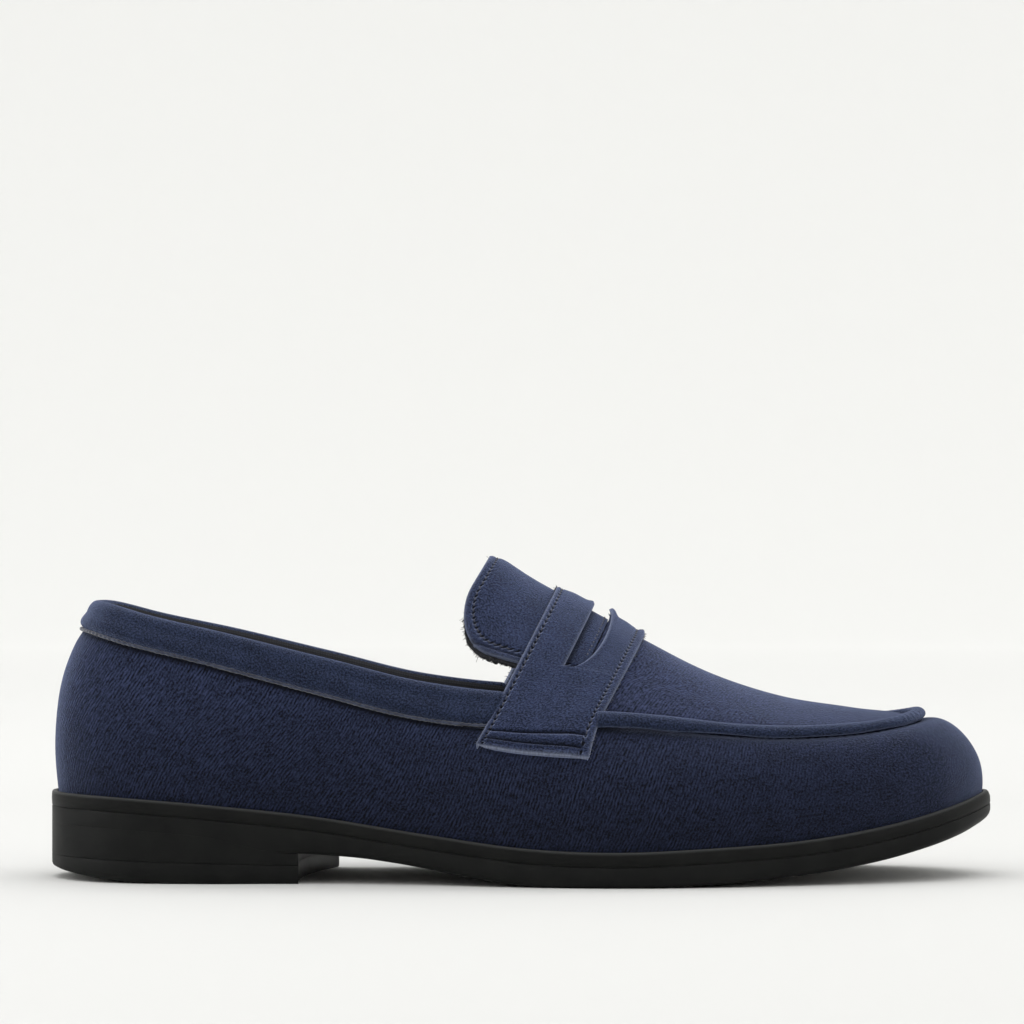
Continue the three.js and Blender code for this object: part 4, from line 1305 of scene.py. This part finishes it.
def wall_sheet(name, first, last, low, high, depth, thick, columns=24):
    us = np.linspace(first, last, max(int(abs(last - first) * 16), 12))[:, None]
    vs = np.linspace(low, high, columns)[None, :]
    u, v = np.broadcast_arrays(us, vs)
    piece = grid_piece(name, wall(u, v, depth)[0])
    apply_modifier(piece, "SOLIDIFY", thickness=thick * MM, offset=-1)
    return piece


quarter = wall_sheet("quarter_lining_cloth", -5.9, 5.9, 0.03, 0.94, LINING_DEPTH, LINING)
place_piece(quarter, lining, "lining_textile", "quarter_lining")
vamp = wall_sheet("vamp_lining_cloth", 5.95, ROUND - 5.95, 0.03, 0.93, LINING_DEPTH, LINING)
place_piece(vamp, lining, "lining_textile", "vamp_lining")

# Sock leather: thin pigskin with fine pores, used for the sock and the heel grip.
sock_leather, sock_shader = new_material("dark_pigskin_sock_leather", {"Roughness": 0.55})
coordinates = add_node(sock_leather, "TexCoord")
PORE = 1.6  # mm between pores
pores = add_node(
    sock_leather, "TexVoronoi", {"Scale": 1 / (PORE * MM), "Randomness": 0.9}, {"Vector": coordinates.outputs["Object"]}
)
handled = add_node(sock_leather, "TexNoise", {"Scale": 60, "Detail": 5}, {"Vector": coordinates.outputs["Object"]})
pit = add_node(
    sock_leather, "MapRange", {"From Min": 0.05, "From Max": 0.3, "To Min": 0.0, "To Max": 1.0}, {"Value": pores}
)
tone = add_node(sock_leather, "ValToRGB", {"stops": [(0.3, "1c1d23"), (0.75, "2e3038")]}, {"Fac": handled})
bump = add_node(sock_leather, "Bump", {"Strength": 0.35, "Distance": 0.0002}, {"Height": pit})
wire(sock_shader, {"Base Color": tone, "Normal": bump})

grip = wall_sheet("heel_grip_leather", -2, 2, 0.45, 0.93, LINING_DEPTH + LINING + 0.3, 0.8)
place_piece(grip, sock_leather, "sock_leather", "heel_grip")

SOCK = 0.9
SOCK_INSET = WALL_INSET + LINING_DEPTH + LINING + 0.3
PAD_FOOT = 4.4


def sock_level(x, edge):
    """Height of the foam's top under the sock: thicker below the heel."""
    forward = smoothstep(x, EDGE_STATIONS[3][0], EDGE_STATIONS[5][0])
    return edge - RAND_HEIGHT + PAD_FOOT + 3.2 - 1.7 * forward + 0.3


sock = sole_layer(
    "sock_lining_leather",
    [
        (SOCK_INSET + 0.4, sock_level),
        (SOCK_INSET, lambda x, edge: sock_level(x, edge) + 0.25),
        (SOCK_INSET, lambda x, edge: sock_level(x, edge) + SOCK - 0.25),
        (SOCK_INSET + 0.4, lambda x, edge: sock_level(x, edge) + SOCK),
        (SOCK_INSET + 4, lambda x, edge: sock_level(x, edge) + SOCK),
    ],
)
place_piece(sock, sock_leather, "sock_leather", "sock_lining")

# ---- Inner parts ----
# What the finished shoe hides: foam cut from sheet, stiff fibreboard, a cork and resin filler in the forepart, and
# a steel shank and nails. Each is its CAD solid in its real stuff.


def inner_material(name, dark, light, grain, roughness, depth, metallic=0.0):
    """A material for a hidden part, mottled at its own grain size in mm."""
    return mottled(
        name,
        [(0.35, dark), (0.68, light)],
        {"Scale": 1 / (grain * MM), "Detail": 4, "Roughness": 0.6},
        {"Strength": 0.4, "Distance": depth * MM},
        {"Roughness": roughness, "Metallic": metallic},
    )


foam = inner_material("cream_latex_foam", "c9bd98", "e4dabb", 0.8, 0.9, 0.3)
fibreboard = inner_material("tan_cellulose_fibreboard", "a3865a", "c6a879", 1.5, 0.85, 0.1)
cork = inner_material("ground_cork_in_resin", "6e4c2b", "b08857", 1.2, 0.85, 0.4)
steel = inner_material("rolled_spring_steel", "83868a", "a1a4a8", 3.0, 0.35, 0.02, metallic=1.0)
for node, material in {
    "foot_pad": foam,
    "collar_foam": foam,
    "insole_board": fibreboard,
    "heel_counter": fibreboard,
    "toe_puff": fibreboard,
    "bottom_filler": cork,
    "shank": steel,
    "apron_lining": lining,
    **{f"heel_nail_{number}": steel for number in range(1, 6)},
}.items():
    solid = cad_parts[node]
    solid.data.materials.clear()
    solid.data.materials.append(material)
